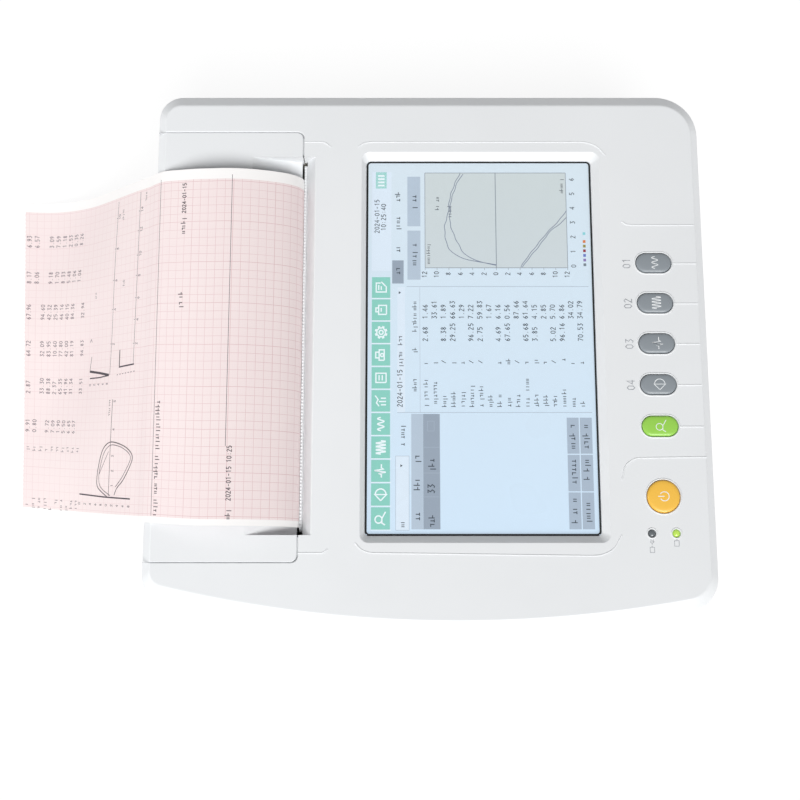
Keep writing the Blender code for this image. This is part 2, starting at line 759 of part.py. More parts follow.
def make_printer():
    frame_idler = new_empty("idler_frame", (IDLER[0], 0.0, IDLER[1]), parent=DECK)
    frame_pinion = new_empty("pinion_frame", (PINION[0], 0.0, PINION[1]), parent=DECK)
    down = tooth_angle(PLATEN, IDLER)
    bore = SHAFT_RADIUS + GAP
    make_gear("platen_gear", PLATEN, PLATEN_TEETH, down, bore, PLATEN_FRAME)
    make_gear("idler_gear", IDLER, IDLER_TEETH, IDLER_PHASE, 2.3, frame_idler)
    pinion_phase = PINION_TURN + 180.0 + 180.0 / PINION_TEETH

    def pinion_wheel(bm):
        prism_y(bm, gear_outline(PINION, PINION_TEETH, pinion_phase), GEAR_FRONT, GEAR_BACK)

    def pinion_shaft(bm):
        rod_y(bm, PINION, 1.5, GEAR_FRONT - 1.5, 135.5, 16)

    part("motor_pinion", "steel", frame_pinion, pinion_wheel, pinion_shaft)

    tube("platen_roller", "rubber", PLATEN_FRAME, PLATEN, bore, PLATEN_RADIUS, -104.0, 109.0, 48)
    shaft = [(-113.0, 1.9), (-112.4, SHAFT_RADIUS), (130.4, SHAFT_RADIUS), (131.0, 1.9)]
    turned("platen_shaft", "steel", PLATEN_FRAME, "Y", PLATEN, shaft, 24)
    for name, y0, y1 in (("bush_front", -111.5, -108.6), ("bush_back", 112.0, 115.0)):
        tube(name, "brass", LID_FRAME, PLATEN, bore, BUSH_RADIUS, y0, y1, 28)
    for name, y0, y1 in (
        ("hinge_pin_front", LID_FRONT - 4.2, LID_FRONT + 4.7),
        ("hinge_pin_back", LID_BACK - 4.7, LID_BACK + 4.2),
    ):
        turned(name, "steel", DECK, "Y", HINGE, [(y0, PIN_RADIUS), (y1, PIN_RADIUS)], 16)

    part("thermal_head", "aluminium", DECK, lambda bm: box(bm, -76.3, -74.8, -105.0, 110.0, -24.0, -12.0))
    part("tear_bar", "steel", DECK, lambda bm: box(bm, -75.5, -74.6, -104.0, 119.0, -11.6, -8.4))

    def sink(bm):
        box(bm, -74.5, -71.0, -105.0, 110.0, -26.0, -12.5)

    def fin(z):
        return lambda bm: box(bm, -71.5, -64.5, -105.0, 110.0, z, z + 1.6)

    part("head_heatsink", "aluminium", DECK, sink, *[fin(z) for z in (-26.0, -21.5, -17.0)])

    def head_bracket(bm):
        box(bm, -64.2, -62.6, -98.0, 104.0, -60.0, -12.0)

    def bracket_foot(bm):
        box(bm, -63.0, -52.0, -98.0, 104.0, -60.0, -58.4)

    part("head_bracket", "steel", DECK, head_bracket, bracket_foot)

    def gear_plate(bm):
        box(bm, -94.0, -48.0, 131.3, 132.8, -82.0, -20.0)

    def idler_pin(bm):
        rod_y(bm, IDLER, 2.0, 123.0, 131.8, 16)

    bracket = part("gear_bracket", "steel", DECK, gear_plate, idler_pin)
    cut(bracket, "pinion_clearance", lambda bm: rod_y(bm, PINION, 4.0, 130.0, 134.0, 20))

    motor = [(133.1, 16.2), (134.0, 17.0), (151.0, 17.0), (151.9, 16.2)]
    stepper = turned("stepper_motor", "steel", DECK, "Y", PINION, motor, 40)
    cut(stepper, "motor_bore", lambda bm: rod_y(bm, PINION, 1.9, 132.0, 136.0, 16), DECK)


def make_roll():
    front = PAPER_CENTRE_Y - PAPER_WIDTH / 2
    back = PAPER_CENTRE_Y + PAPER_WIDTH / 2
    tube("paper_roll", "paper", ROLL_FRAME, ROLL_CENTRE, CORE_RADIUS + GAP, ROLL_RADIUS, front, back, 56)
    tube("roll_core", "cardboard", ROLL_FRAME, ROLL_CENTRE, SPINDLE_RADIUS + GAP, CORE_RADIUS, front, back)
    spindle = [
        (-118.5, 3.4),
        (-118.0, 4.0),
        (-108.0, 4.0),
        (-107.0, 11.0),
        (-104.0, 11.0),
        (-103.0, SPINDLE_RADIUS),
        (112.0, SPINDLE_RADIUS),
        (113.0, 4.0),
        (122.5, 4.0),
        (123.0, 3.4),
    ]
    turned("roll_spindle", "tray_plastic", ROLL_FRAME, "Y", ROLL_CENTRE, spindle)
    cx, cz = ROLL_CENTRE

    def trough(radius, top, y0, y1, bm):
        points = [(cx + radius, top), (cx - radius, top)]
        for i in range(17):
            turn = radians(180.0 + 180.0 * i / 16)
            points.append((cx + radius * cos(turn), cz + radius * sin(turn)))
        prism_y(bm, points, y0, y1)

    tray = part("paper_tray", "tray_plastic", DECK, lambda bm: trough(27.5, -28.0, -116.0, 120.0, bm))
    cut(tray, "tray_hollow", lambda bm: trough(25.5, -20.0, -114.0, 118.0, bm))

    def spindle_notches(bm):
        points = [(cx + 4.3, cz + 30.0), (cx - 4.3, cz + 30.0)]
        for i in range(9):
            turn = radians(180.0 + 180.0 * i / 8)
            points.append((cx + 4.3 * cos(turn), cz + 4.3 * sin(turn)))
        prism_y(bm, points, -120.0, 124.0)

    cut(tray, "spindle_notches", spindle_notches)

    def tray_foot(x, y):
        return lambda bm: rod_z(bm, (x, y), 4.0, floor_z(y, 7.2), cz - 20.0, 12)

    for i, (x, y) in enumerate(((-143.0, -90.0), (-115.0, -90.0), (-143.0, 95.0), (-115.0, 95.0))):
        combine(tray, "UNION", f"tray_foot_{i}", tray_foot(x, y))
    cut(tray, "tray_hollow_again", lambda bm: trough(25.5, -20.0, -114.0, 118.0, bm))


# ---- screen, keys and electronics ----


def make_screen():
    x0, x1, y0, y1 = SCREEN
    lx0, lx1, ly0, ly1 = LIT
    part("touch_glass", "glass", DECK, lambda bm: box(bm, x0, x1, y0, y1, -4.9, -3.8))
    gasket = part("screen_gasket", "black_plastic", DECK, lambda bm: box(bm, x0, x1, y0, y1, -7.0, -5.2))
    cut(
        gasket,
        "gasket_window",
        lambda bm: box(bm, lx0 - 0.1, lx1 + 0.1, ly0 - 0.1, ly1 + 0.1, -9.0, -3.0),
    )

    def lcd_plate(bm):
        box(bm, x0 - 4.0, x1 + 4.0, y0 - 4.0, y1 + 4.0, -12.5, -7.3)

    def lcd_raised(bm):
        box(bm, lx0 + 0.2, lx1 - 0.2, ly0 + 0.2, ly1 - 0.2, -8.0, -5.3)

    part("lcd_module", "lcd", DECK, lcd_plate, lcd_raised)


def make_keys():
    for name, y in zip(KEY_NAMES, KEY_YS):
        frame = new_empty(f"{name}_frame", (KEY_X, y, 0.0), parent=DECK)
        material = "green_key" if name == "key_start" else "grey_key"

        def cap(bm):
            levels = ((-5.6, 0.0), (0.3, 0.0), (0.9, -0.4), (1.2, -1.1))
            ring_strip(bm, [[(px, py, z) for px, py in pill(KEY_X, y, grow)] for z, grow in levels])

        def flange(bm):
            prism_z(bm, pill(KEY_X, y, 1.2), -7.2, -5.4)

        def stem(bm):
            rod_z(bm, (KEY_X, y), 2.0, -8.2, -7.0, 12)

        smooth(part(name, material, frame, cap, flange, stem))

    frame = new_empty("power_key_frame", (*POWER_KEY, 0.0), parent=DECK)

    cap = [
        (-8.2, 2.0),
        (-7.2, 2.0),
        (-7.2, POWER_RADIUS + 1.2),
        (-5.4, POWER_RADIUS + 1.2),
        (-5.4, POWER_RADIUS),
        (0.3, POWER_RADIUS),
        (0.9, POWER_RADIUS - 0.35),
        (1.2, POWER_RADIUS - 1.0),
    ]
    turned("key_power", "orange_key", frame, "Z", POWER_KEY, cap, 48)
    for name, x in LIGHTS:
        profile = [(-10.0, LIGHT_RADIUS), (-0.6, LIGHT_RADIUS), (-0.2, LIGHT_RADIUS - 0.6)]
        turned(name, "light_clear", DECK, "Z", (x, LIGHT_Y), profile, 20)

    def key_board(bm):
        box(bm, 121.5, 148.5, -112.0, 65.0, -13.6, -12.0)

    places = [(KEY_X, y) for y in KEY_YS] + [POWER_KEY]

    def switches(bm):
        for x, y in places:
            box(bm, x - 3.0, x + 3.0, y - 3.0, y + 3.0, -12.5, -10.2)
        for _, x in LIGHTS:
            rod_z(bm, (x, LIGHT_Y), 1.6, -12.5, -10.4, 12)

    def plungers(bm):
        for x, y in places:
            rod_z(bm, (x, y), 1.6, -11.0, -9.5, 12)

    part("key_board", "board", DECK, key_board, switches, plungers)


def make_electronics():
    def board(edge, z):
        x0, x1, y0, y1 = edge
        return lambda bm: box(bm, x0, x1, y0, y1, z, z + 1.6)

    def chips(bm):
        box(bm, 20.0, 48.0, 30.0, 58.0, 39.0, 42.5)
        box(bm, 62.0, 76.0, 20.0, 42.0, 39.0, 41.6)
        box(bm, -20.0, -6.0, 60.0, 90.0, 39.0, 45.0)
        box(bm, 10.0, 60.0, 98.0, 104.0, 39.0, 48.0)

    def supplies(bm):
        box(bm, 112.0, 138.0, 60.0, 84.0, 24.0, 48.0)
        rod_z(bm, (146.0, 98.0), 7.0, 24.0, 50.0, 20)
        rod_z(bm, (124.0, 106.0), 6.0, 24.0, 44.0, 20)
        box(bm, 142.0, 152.0, 50.0, 84.0, 24.0, 40.0)

    part("main_board", "board", BASE, board(MAIN_BOARD, 38.0), chips)
    part("power_board", "board", BASE, board(POWER_BOARD, 23.0), supplies)
    x0, x1, y0, y1 = BATTERY_DOOR

    def door(bm):
        box(bm, x0 + GAP, x1 - GAP, y0 + GAP, y1 - GAP, CASE_BOTTOM, CASE_BOTTOM + 2.5)

    lid = part("battery_door", "case_plastic", BASE, door)

    def grip(bm):
        for i in range(5):
            x = 30.0 + 5.0 * i
            box(bm, x, x + 2.0, y1 - 16.0, y1 - 6.0, CASE_BOTTOM - 1.0, CASE_BOTTOM + 1.0)

    cut(lid, "door_grip", grip)

    def pack(bm):
        prism_z(bm, rounded_box(x0 + 5.0, x1 - 5.0, y0 + 5.0, y1 - 5.0, 4.0, 4), 6.2, 28.0)

    part("battery_pack", "battery", BASE, pack)

    speaker = [(6.4, 15.5), (9.4, 15.5), (9.5, 11.0), (15.0, 9.0), (18.0, 9.0)]
    turned("speaker", "black_plastic", BASE, "Z", (134.0, -84.0), speaker)
    for i, (x, y) in enumerate(FEET):
        profile = [(0.0, 7.6), (0.5, 8.2), (CASE_BOTTOM - GAP, 9.0)]
        turned(f"foot_{i + 1}", "rubber", BASE, "Z", (x, y), profile, 28)
    for i, (x, y) in enumerate(SCREWS):
        profile = [(4.0, 3.3), (5.5, 3.3), (5.5, 1.4), (17.0, 1.4)]
        screw = turned(f"case_screw_{i + 1}", "steel", BASE, "Z", (x, y), profile, 16)
        slot = lambda bm: box(bm, x - 0.4, x + 0.4, y - 2.2, y + 2.2, 3.0, 4.8)
        cut(screw, f"screw_slot_{i + 1}", slot, BASE)


# ---- printed strip ----

# Side view of the strip from the slot over the lid to the table, as (x, z) in the deck frame.
STRIP_PATH = (
    (-76.45, -10.4),
    (-76.6, -6.4),
    (-79.6, -1.0),
    (-87.0, 4.4),
    (-99.0, 9.0),
    (-112.0, 11.8),
    (-125.0, 12.3),
    (-138.0, 10.2),
    (-150.0, 6.0),
    (-160.0, 1.8),
    (-166.4, -3.6),
    (-172.0, -10.0),
    (-181.6, -19.0),
    (-193.2, -30.4),
    (-206.8, -43.8),
    (-220.4, -56.6),
    (-234.0, -66.6),
    (-248.0, -74.2),
    (-264.0, -78.9),
    (-286.0, -80.6),
)
# The strip drifts to the back as it runs, turns from level with the deck to level with the table, and
# its end is cut askew, the back edge being longer.
STRIP_VEER = 15.5
VEER_START = -130.0
FALL_START = -150.0
FALL_END = -265.0
STRIP_END = 236.0
STRIP_SKEW = 0.082


def spline(points, steps):
    """A Catmull-Rom curve through the points."""
    ends = [points[0], *points, points[-1]]
    found = []
    for i in range(1, len(ends) - 2):
        a, b, c, d = (Vector(ends[i + k]) for k in (-1, 0, 1, 2))
        for k in range(steps):
            t = k / steps
            second = 2 * a - 5 * b + 4 * c - d
            third = 3 * b - a - 3 * c + d
            found.append((2 * b + (c - a) * t + second * t**2 + third * t**3) / 2)
    found.append(Vector(points[-1]))
    return found


def share_between(value, start, end):
    return min(max((value - start) / (end - start), 0.0), 1.0)


def eased(share):
    return share * share * (3.0 - 2.0 * share)


def strip_point(path, along, across):
    """The point at a distance along the strip's side view and across it from its middle."""
    left = along + STRIP_SKEW * across * (along / STRIP_END) ** 3
    for first, second in zip(path, path[1:]):
        step = (second - first).length
        if left <= step:
            break
        left -= step
    x, z = first + (second - first) * min(left / step, 1.0)
    drift = share_between(x, VEER_START, STRIP_PATH[-1][0])
    y = PAPER_CENTRE_Y + across + STRIP_VEER * (drift + eased(drift)) / 2
    twist = eased(share_between(x, FALL_START, FALL_END))
    return (x, y, z - twist * y * sin(SLOPE) / cos(SLOPE))


def make_printout():
    """One sheet, level across the deck at the slot and level with the table at its free end."""
    path = spline(STRIP_PATH, 6)
    across = 6
    along = 44
    bm = bmesh.new()
    rows = []
    for k in range(along + 1):
        offsets = [PAPER_WIDTH * (i / across - 0.5) for i in range(across + 1)]
        rows.append([bm.verts.new(strip_point(path, STRIP_END * k / along, offset)) for offset in offsets])
    for first, second in zip(rows, rows[1:]):
        for i in range(across):
            bm.faces.new((first[i], second[i], second[i + 1], first[i + 1]))
    frame = new_empty("printout_frame", (STRIP_PATH[0][0], 0.0, STRIP_PATH[0][1]), parent=DECK)
    strip = finish(bm, "printout", frame, PARTS)
    strip.data.materials.append(MATERIALS["paper"])
    for face in strip.data.polygons:
        face.use_smooth = True
    sheet = strip.modifiers.new("thickness", "SOLIDIFY")
    sheet.thickness = PAPER_THICK * MM
    sheet.offset = 0.0


make_top_cover()
make_lid()
make_bottom_case()
make_rear()
make_printer()
make_roll()
make_screen()
make_keys()
make_electronics()
make_printout()
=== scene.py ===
"""Looks of the desktop chart recorder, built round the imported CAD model.

Shapes are in deck millimetres (x to the right, y to the back, z out of the sloping top face), and DECK
turns them into the row frame. BASE does the same for shapes that stand level on the table.
"""

import bmesh
import bpy
import json
import random
from bisect import bisect
from math import atan2, ceil, cos, degrees, hypot, pi, radians, sin, sqrt, tan
from mathutils import Matrix, Vector


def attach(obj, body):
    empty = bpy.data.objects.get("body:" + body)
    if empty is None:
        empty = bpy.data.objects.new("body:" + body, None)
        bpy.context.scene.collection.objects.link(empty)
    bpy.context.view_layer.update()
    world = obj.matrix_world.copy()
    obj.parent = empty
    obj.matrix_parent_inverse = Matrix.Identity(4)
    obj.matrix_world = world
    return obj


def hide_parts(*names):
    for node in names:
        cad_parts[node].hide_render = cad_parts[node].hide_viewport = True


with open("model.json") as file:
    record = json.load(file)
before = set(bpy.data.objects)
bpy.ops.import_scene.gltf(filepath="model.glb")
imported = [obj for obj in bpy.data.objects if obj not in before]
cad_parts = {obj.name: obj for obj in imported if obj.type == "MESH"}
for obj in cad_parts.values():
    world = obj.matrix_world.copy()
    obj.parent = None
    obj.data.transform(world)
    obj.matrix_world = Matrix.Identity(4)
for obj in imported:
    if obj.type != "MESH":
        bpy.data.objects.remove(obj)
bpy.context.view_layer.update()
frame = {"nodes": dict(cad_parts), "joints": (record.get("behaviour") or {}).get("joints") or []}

MM = 0.001
GAP = 0.3

# Housing, as in the CAD. Each outline is (back, side, front, corner radii), and the radii are those of
# the front left, front right, back right and back left corner.
FRONT_RADIUS = 740.0
FRONT_CENTRE_X = 15.4
DECK_EDGE = (156.0, 161.0, 156.0, (9.0, 15.0, 19.0, 9.0))
CHAMFER_EDGE = (163.5, 166.0, 163.0, (13.0, 20.0, 25.0, 14.0))
WALL_EDGE = (164.1, 166.6, 163.6, (13.5, 20.5, 25.5, 14.5))
WALL = 2.5
PARTING_Z = -30.0
CASE_BOTTOM = 3.3

# Lid, groove and hinge.
HINGE = (-164.4, -27.8)
LID_FRONT = -123.0
LID_BACK = 138.7
LID_RIGHT = -76.0
GROOVE_FRONT = -107.3
GROOVE_BACK = 122.5
GROOVE_LEFT = -106.5
GROOVE_DEPTH = 9.2
GROOVE_ENDS = ((GROOVE_FRONT - 1.8, GROOVE_FRONT), (GROOVE_BACK, GROOVE_BACK + 1.8))
PLATEN = (-84.0, -18.5)
ROLL = (-129.0, -37.0)

# Paper.
PAPER_WIDTH = 210.0
PAPER_CENTRE_Y = 2.4
PAPER_THICK = 0.12
STRIP_PATH = (
    (-76.45, -10.4),
    (-76.6, -6.4),
    (-79.6, -1.0),
    (-87.0, 4.4),
    (-99.0, 9.0),
    (-112.0, 11.8),
    (-125.0, 12.3),
    (-138.0, 10.2),
    (-150.0, 6.0),
    (-160.0, 1.8),
    (-166.4, -3.6),
    (-172.0, -10.0),
    (-181.6, -19.0),
    (-193.2, -30.4),
    (-206.8, -43.8),
    (-220.4, -56.6),
    (-234.0, -66.6),
    (-248.0, -74.2),
    (-264.0, -78.9),
    (-286.0, -80.6),
)
STRIP_VEER = 15.5
VEER_START = -130.0
FALL_START = -150.0
FALL_END = -265.0
STRIP_END = 236.0
STRIP_SKEW = 0.082
TORN_END = 232.8
BACK_MARGIN = 3.0

# Screen.
SCREEN = (-37.6, 99.3, -107.4, 120.9)
LIT = (-35.1, 97.5, -104.8, 117.0)
SCREEN_BEVEL = (-40.6, 104.2, -111.8, 125.7)
BEVEL_DEPTH = 3.5
SCREEN_RADIUS = 2.6
PICTURE_TOP = -5.18
PAGE_WIDE = 1280.0
PAGE_HIGH = 800.0

# Keys and lights.
KEY_X = 134.9
KEY_YS = {"key_1": 55.2, "key_2": 30.4, "key_3": 5.7, "key_4": -19.1, "key_start": -43.9}
KEY_LONG = 20.9
KEY_SHORT = 11.8
POWER_KEY = (135.2, -85.1)
POWER_RADIUS = 9.45
LIGHTS = {"light_left": 127.8, "light_right": 141.9}
LIGHT_Y = -106.3
LIGHT_RADIUS = 2.0

# Underside and rear panel.
SCREWS = ((-112.0, -128.0), (112.0, -128.0), (-112.0, 150.0), (112.0, 150.0))
BATTERY_DOOR = (-26.0, 106.0, -101.0, -20.0)
PANEL_SCREWS = ((-35.6, -44.4), (-35.6, -75.6), (100.0, -44.4), (145.6, -44.4), (145.6, -75.6), (43.0, -75.6))

# Room. The camera looks down on the deck, leaning off its normal towards the front.
CAMERA_AIM = (-17.3, -28.4, 0.0)
CAMERA_LEAN = radians(10.0)
CAMERA_DISTANCE = 650.0
CAMERA_LENS = 49.77
FLOOR_HALF = 12.0
FLOOR_GLOW = 0.88
WORLD_STRENGTH = 0.17

# Each light: name, direction from the deck, distance, size, power, colour.
AREA_LIGHTS = (
    ("key_light", (0.2, -0.93, 1.0), 14.0, 8.0, 1910.0, (1.0, 0.997, 0.992)),
    ("left_light", (-0.9, -0.1, 0.45), 1.2, 0.7, 4.6, (1.0, 1.0, 1.0)),
)


def deck_matrix():
    """Deck millimetres to the row frame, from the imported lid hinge, which runs along the deck's y."""
    hinge = next(joint for joint in frame["joints"] if joint["name"] == "lid_hinge")
    along = -Vector(hinge["axis"])
    turn = Matrix.Rotation(atan2(along.z, along.y), 4, "X")
    back_to_origin = Matrix.Translation((-HINGE[0], 0.0, -HINGE[1]))
    return Matrix.Translation(hinge["pos_m"]) @ turn @ Matrix.Scale(MM, 4) @ back_to_origin


DECK = deck_matrix()
ORIGIN = DECK.translation
BASE = Matrix.Translation((ORIGIN.x, ORIGIN.y, 0.0)) @ Matrix.Scale(MM, 4)
BASE_TO_DECK = DECK.inverted() @ BASE
SLOPE = atan2(DECK[2][1], DECK[1][1])
DECK_HEIGHT = ORIGIN.z / MM


# ---- materials ----


def srgb(red, green, blue):
    """A colour as the eye reads it, 0 to 255, in the linear values that shaders take."""

    def linear(value):
        value /= 255.0
        return value / 12.92 if value <= 0.04045 else ((value + 0.055) / 1.055) ** 2.4

    return (linear(red), linear(green), linear(blue), 1.0)


class Shader:
    """A procedural material under construction: node() adds a node and links or sets its inputs."""

    def __init__(self, name):
        self.made = bpy.data.materials.new(name)
        self.made.use_nodes = True
        self.tree = self.made.node_tree
        self.surface = self.tree.nodes["Principled BSDF"]

    def node(self, kind, inputs=None, output=0, **settings):
        node = self.tree.nodes.new(kind)
        for key, value in settings.items():
            setattr(node, key, value)
        for key, value in (inputs or {}).items():
            self.feed(node, key, value)
        return node.outputs[output]

    def feed(self, node, key, value):
        if isinstance(value, bpy.types.NodeSocket):
            self.tree.links.new(value, node.inputs[key])
        else:
            node.inputs[key].default_value = value

    def set(self, **inputs):
        for key, value in inputs.items():
            self.feed(self.surface, key.replace("_", " "), value)

    def place(self):
        return self.node("ShaderNodeTexCoord", output=3)

    def noise(self, scale, detail=3.0, roughness=0.55, where=None):
        inputs = {"Vector": where or self.place(), "Scale": scale, "Detail": detail, "Roughness": roughness}
        return self.node("ShaderNodeTexNoise", inputs)

    def spread(self, value, low, high, start=0.25, end=0.75):
        inputs = {"Value": value, "From Min": start, "From Max": end, "To Min": low, "To Max": high}
        return self.node("ShaderNodeMapRange", inputs)

    def mix(self, share, first, second):
        """A colour between first and second. 6 and 7 are the node's colour inputs, and 2 its output."""
        node = self.tree.nodes.new("ShaderNodeMix")
        node.data_type = "RGBA"
        for index, value in ((0, share), (6, first), (7, second)):
            self.feed(node, index, value)
        return node.outputs[2]

    def math(self, operation, first, second=0.0):
        return self.node("ShaderNodeMath", {0: first, 1: second}, operation=operation)

    def bump(self, height, strength, distance):
        inputs = {"Height": height, "Strength": strength, "Distance": distance}
        return self.node("ShaderNodeBump", inputs)


def darker(colour, share):
    return (colour[0] * share, colour[1] * share, colour[2] * share, 1.0)


def plastic(name, colour, roughness=0.42, grain=1.0, mottle=0.965, depth=0.00002, coat=0.0):
    """Moulded plastic: a spark-eroded texture about 0.4 mm across, faint clouding, uneven gloss."""
    made = Shader(name)
    cloud = made.spread(made.noise(9.0), 0.0, 1.0)
    fine = made.noise(2600.0 / grain, 2.0)
    made.set(Base_Color=made.mix(cloud, colour, darker(colour, mottle)))
    made.set(Roughness=made.spread(made.noise(60.0), roughness - 0.05, roughness + 0.06))
    made.set(Normal=made.bump(fine, 0.35, depth), Coat_Weight=coat, Coat_Roughness=0.2)
    return made.made


def metal(name, colour, roughness=0.3, brushed=(1.0, 1.0, 1.0)):
    """Metal with brushing marks stretched along one axis."""
    made = Shader(name)
    where = made.node("ShaderNodeMapping", {"Vector": made.place(), "Scale": brushed})
    streaks = made.noise(900.0, 4.0, where=where)
    made.set(Metallic=1.0)
    made.set(Base_Color=made.mix(made.spread(streaks, 0.0, 1.0), colour, darker(colour, 0.82)))
    made.set(Roughness=made.spread(made.noise(150.0), roughness - 0.07, roughness + 0.1))
    made.set(Normal=made.bump(streaks, 0.2, 0.00002))
    return made.made


def rubber(name, colour):
    made = Shader(name)
    grain = made.noise(1800.0, 4.0)
    dust = made.spread(made.noise(35.0), 0.0, 0.5)
    made.set(Base_Color=made.mix(dust, colour, darker(colour, 2.2)))
    made.set(Roughness=made.spread(grain, 0.72, 0.9), Normal=made.bump(grain, 0.5, 0.00004))
    return made.made


def circuit_board(name):
    """Green solder mask over square-cornered copper runs."""
    made = Shader(name)
    inputs = {"Vector": made.place(), "Scale": 420.0, "Randomness": 0.15}
    cells = made.node("ShaderNodeTexVoronoi", inputs, distance="CHEBYCHEV", feature="F1")
    runs = made.spread(cells, 0.0, 1.0, 0.38, 0.44)
    made.set(Base_Color=made.mix(runs, srgb(16, 92, 52), srgb(28, 120, 66)))
    made.set(Roughness=made.spread(made.noise(80.0), 0.3, 0.45), Normal=made.bump(runs, 0.3, 0.00005))
    return made.made


def cardboard(name):
    made = Shader(name)
    fibre = made.noise(700.0, 6.0)
    made.set(Base_Color=made.mix(made.spread(fibre, 0.0, 1.0), srgb(196, 170, 134), srgb(158, 130, 96)))
    made.set(Roughness=0.88, Normal=made.bump(fibre, 0.6, 0.00008))
    return made.made


def rolled_paper(name):
    """The roll: edges of the wound layers show as fine rings about its axis."""
    made = Shader(name)
    fibre = made.noise(1500.0, 4.0)
    tint = made.spread(made.noise(120.0), 0.0, 1.0)
    made.set(Base_Color=made.mix(tint, srgb(250, 240, 238), srgb(243, 224, 222)))
    made.set(Roughness=made.spread(fibre, 0.62, 0.8), Normal=made.bump(fibre, 0.3, 0.00003))
    return made.made


def translucent(name, colour, glow):
    """A tinted light lens, lit from inside."""
    made = Shader(name)
    swirl = made.spread(made.noise(300.0), 0.0, 1.0)
    tint = made.mix(swirl, colour, darker(colour, 0.85))
    made.set(Base_Color=tint, Roughness=made.spread(made.noise(90.0), 0.12, 0.22), Coat_Weight=0.5)
    made.set(Emission_Color=tint, Emission_Strength=glow)
    return made.made


def clear_glass(name):
    """Touch glass: nearly clear, with an anti-glare sparkle and faint smears."""
    made = Shader(name)
    smear = made.noise(14.0, 2.0)
    clear = made.node("ShaderNodeBsdfTransparent", {"Color": (0.985, 0.99, 0.992, 1.0)})
    rough = made.spread(smear, 0.2, 0.3)
    inputs = {"Color": (1.0, 1.0, 1.0, 1.0), "Roughness": rough}
    gloss = made.node("ShaderNodeBsdfAnisotropic", inputs)
    edge = made.node("ShaderNodeFresnel", {"IOR": 1.42})
    both = made.node("ShaderNodeMixShader", {0: made.math("MULTIPLY", edge, 0.5), 1: clear, 2: gloss})
    out = made.tree.nodes["Material Output"]
    made.tree.links.new(both, out.inputs["Surface"])
    made.tree.nodes.remove(made.surface)
    return made.made


def picture_colour(name, colour, glow=0.78, shade=None):
    """One colour of the lit display. shade is the colour at the page's far corner."""
    made = Shader(name)
    cells = made.noise(2400.0, 1.0)
    if shade:
        box = [DECK @ Vector((LIT[0], LIT[2], 0.0)), DECK @ Vector((LIT[1], LIT[3], 0.0))]
        parts = made.node("ShaderNodeSeparateXYZ", {"Vector": made.place()}, output=1)
        across = made.spread(parts, 0.0, 1.0, box[0].y, box[1].y)
        paint = made.mix(across, colour, shade)
    else:
        paint = made.mix(made.spread(cells, 0.0, 1.0), colour, darker(colour, 0.97))
    made.set(Base_Color=darker(colour, 0.35), Roughness=made.spread(cells, 0.3, 0.4))
    made.set(Emission_Color=paint, Emission_Strength=glow)
    return made.made


def ink(name, colour, roughness=0.6):
    """Printed or thermal marks, a little uneven in density."""
    made = Shader(name)
    patchy = made.spread(made.noise(500.0, 3.0), 0.0, 1.0)
    lighter = [min(1.0, value * 1.7 + 0.02) for value in colour[:3]] + [1.0]
    made.set(Base_Color=made.mix(patchy, colour, lighter))
    made.set(Roughness=made.spread(patchy, roughness - 0.08, roughness + 0.08))
    return made.made


def chart_paper(name):
    """Thermal chart paper: white borders, pink ground, 1 mm and 5 mm rulings, bolder every 25 mm.

    The UV map holds millimetres along and across the strip, divided by 100.
    """
    made = Shader(name)
    uv = made.node("ShaderNodeUVMap", uv_map="strip")
    split = made.tree.nodes.new("ShaderNodeSeparateXYZ")
    made.tree.links.new(uv, split.inputs[0])
    along = made.math("MULTIPLY", split.outputs[0], 100.0)
    across = made.math("MULTIPLY", split.outputs[1], 100.0)

    def rule(value, pitch, width):
        """1 on lines that lie a pitch apart, 0 between them."""
        turned = made.math("PINGPONG", value, pitch / 2)
        return made.math("LESS_THAN", turned, width / 2)

    def grid(pitch, width):
        return made.math("MAXIMUM", rule(along, pitch, width), rule(across, pitch, width))

    fibre = made.noise(1400.0, 4.0)
    cloud = made.spread(made.noise(16.0), 0.0, 1.0)
    pink = made.mix(cloud, srgb(245, 231, 230), srgb(243, 227, 227))
    wear = made.spread(made.noise(38.0), 0.55, 1.0)
    near = made.spread(along, 1.0, 0.45, 60.0, 150.0)
    faint = made.math("MULTIPLY", grid(1.0, 0.12), 0.10)
    clear = made.math("MULTIPLY", grid(5.0, 0.26), made.math("MULTIPLY", wear, 0.62))
    bold = made.math("MULTIPLY", grid(25.0, 0.34), 0.55)
    lines = made.math("MULTIPLY", made.math("MAXIMUM", made.math("MAXIMUM", faint, clear), bold), near)
    ruled = made.mix(lines, pink, srgb(204, 152, 158))
    edge = made.math("GREATER_THAN", made.math("ABSOLUTE", across), PAPER_WIDTH / 2 - 3.6)
    made.set(Base_Color=made.mix(edge, ruled, srgb(252, 250, 249)))
    made.set(Roughness=made.spread(fibre, 0.5, 0.68), Normal=made.bump(fibre, 0.25, 0.00002))
    return made.made


def pale_floor(name):
    made = Shader(name)
    cloud = made.spread(made.noise(3.0), 0.0, 1.0)
    paint = made.mix(cloud, (0.15, 0.15, 0.15, 1.0), (0.14, 0.14, 0.14, 1.0))
    made.set(Base_Color=paint, Roughness=0.9)
    made.set(Emission_Color=(1.0, 1.0, 1.0, 1.0), Emission_Strength=FLOOR_GLOW)
    return made.made


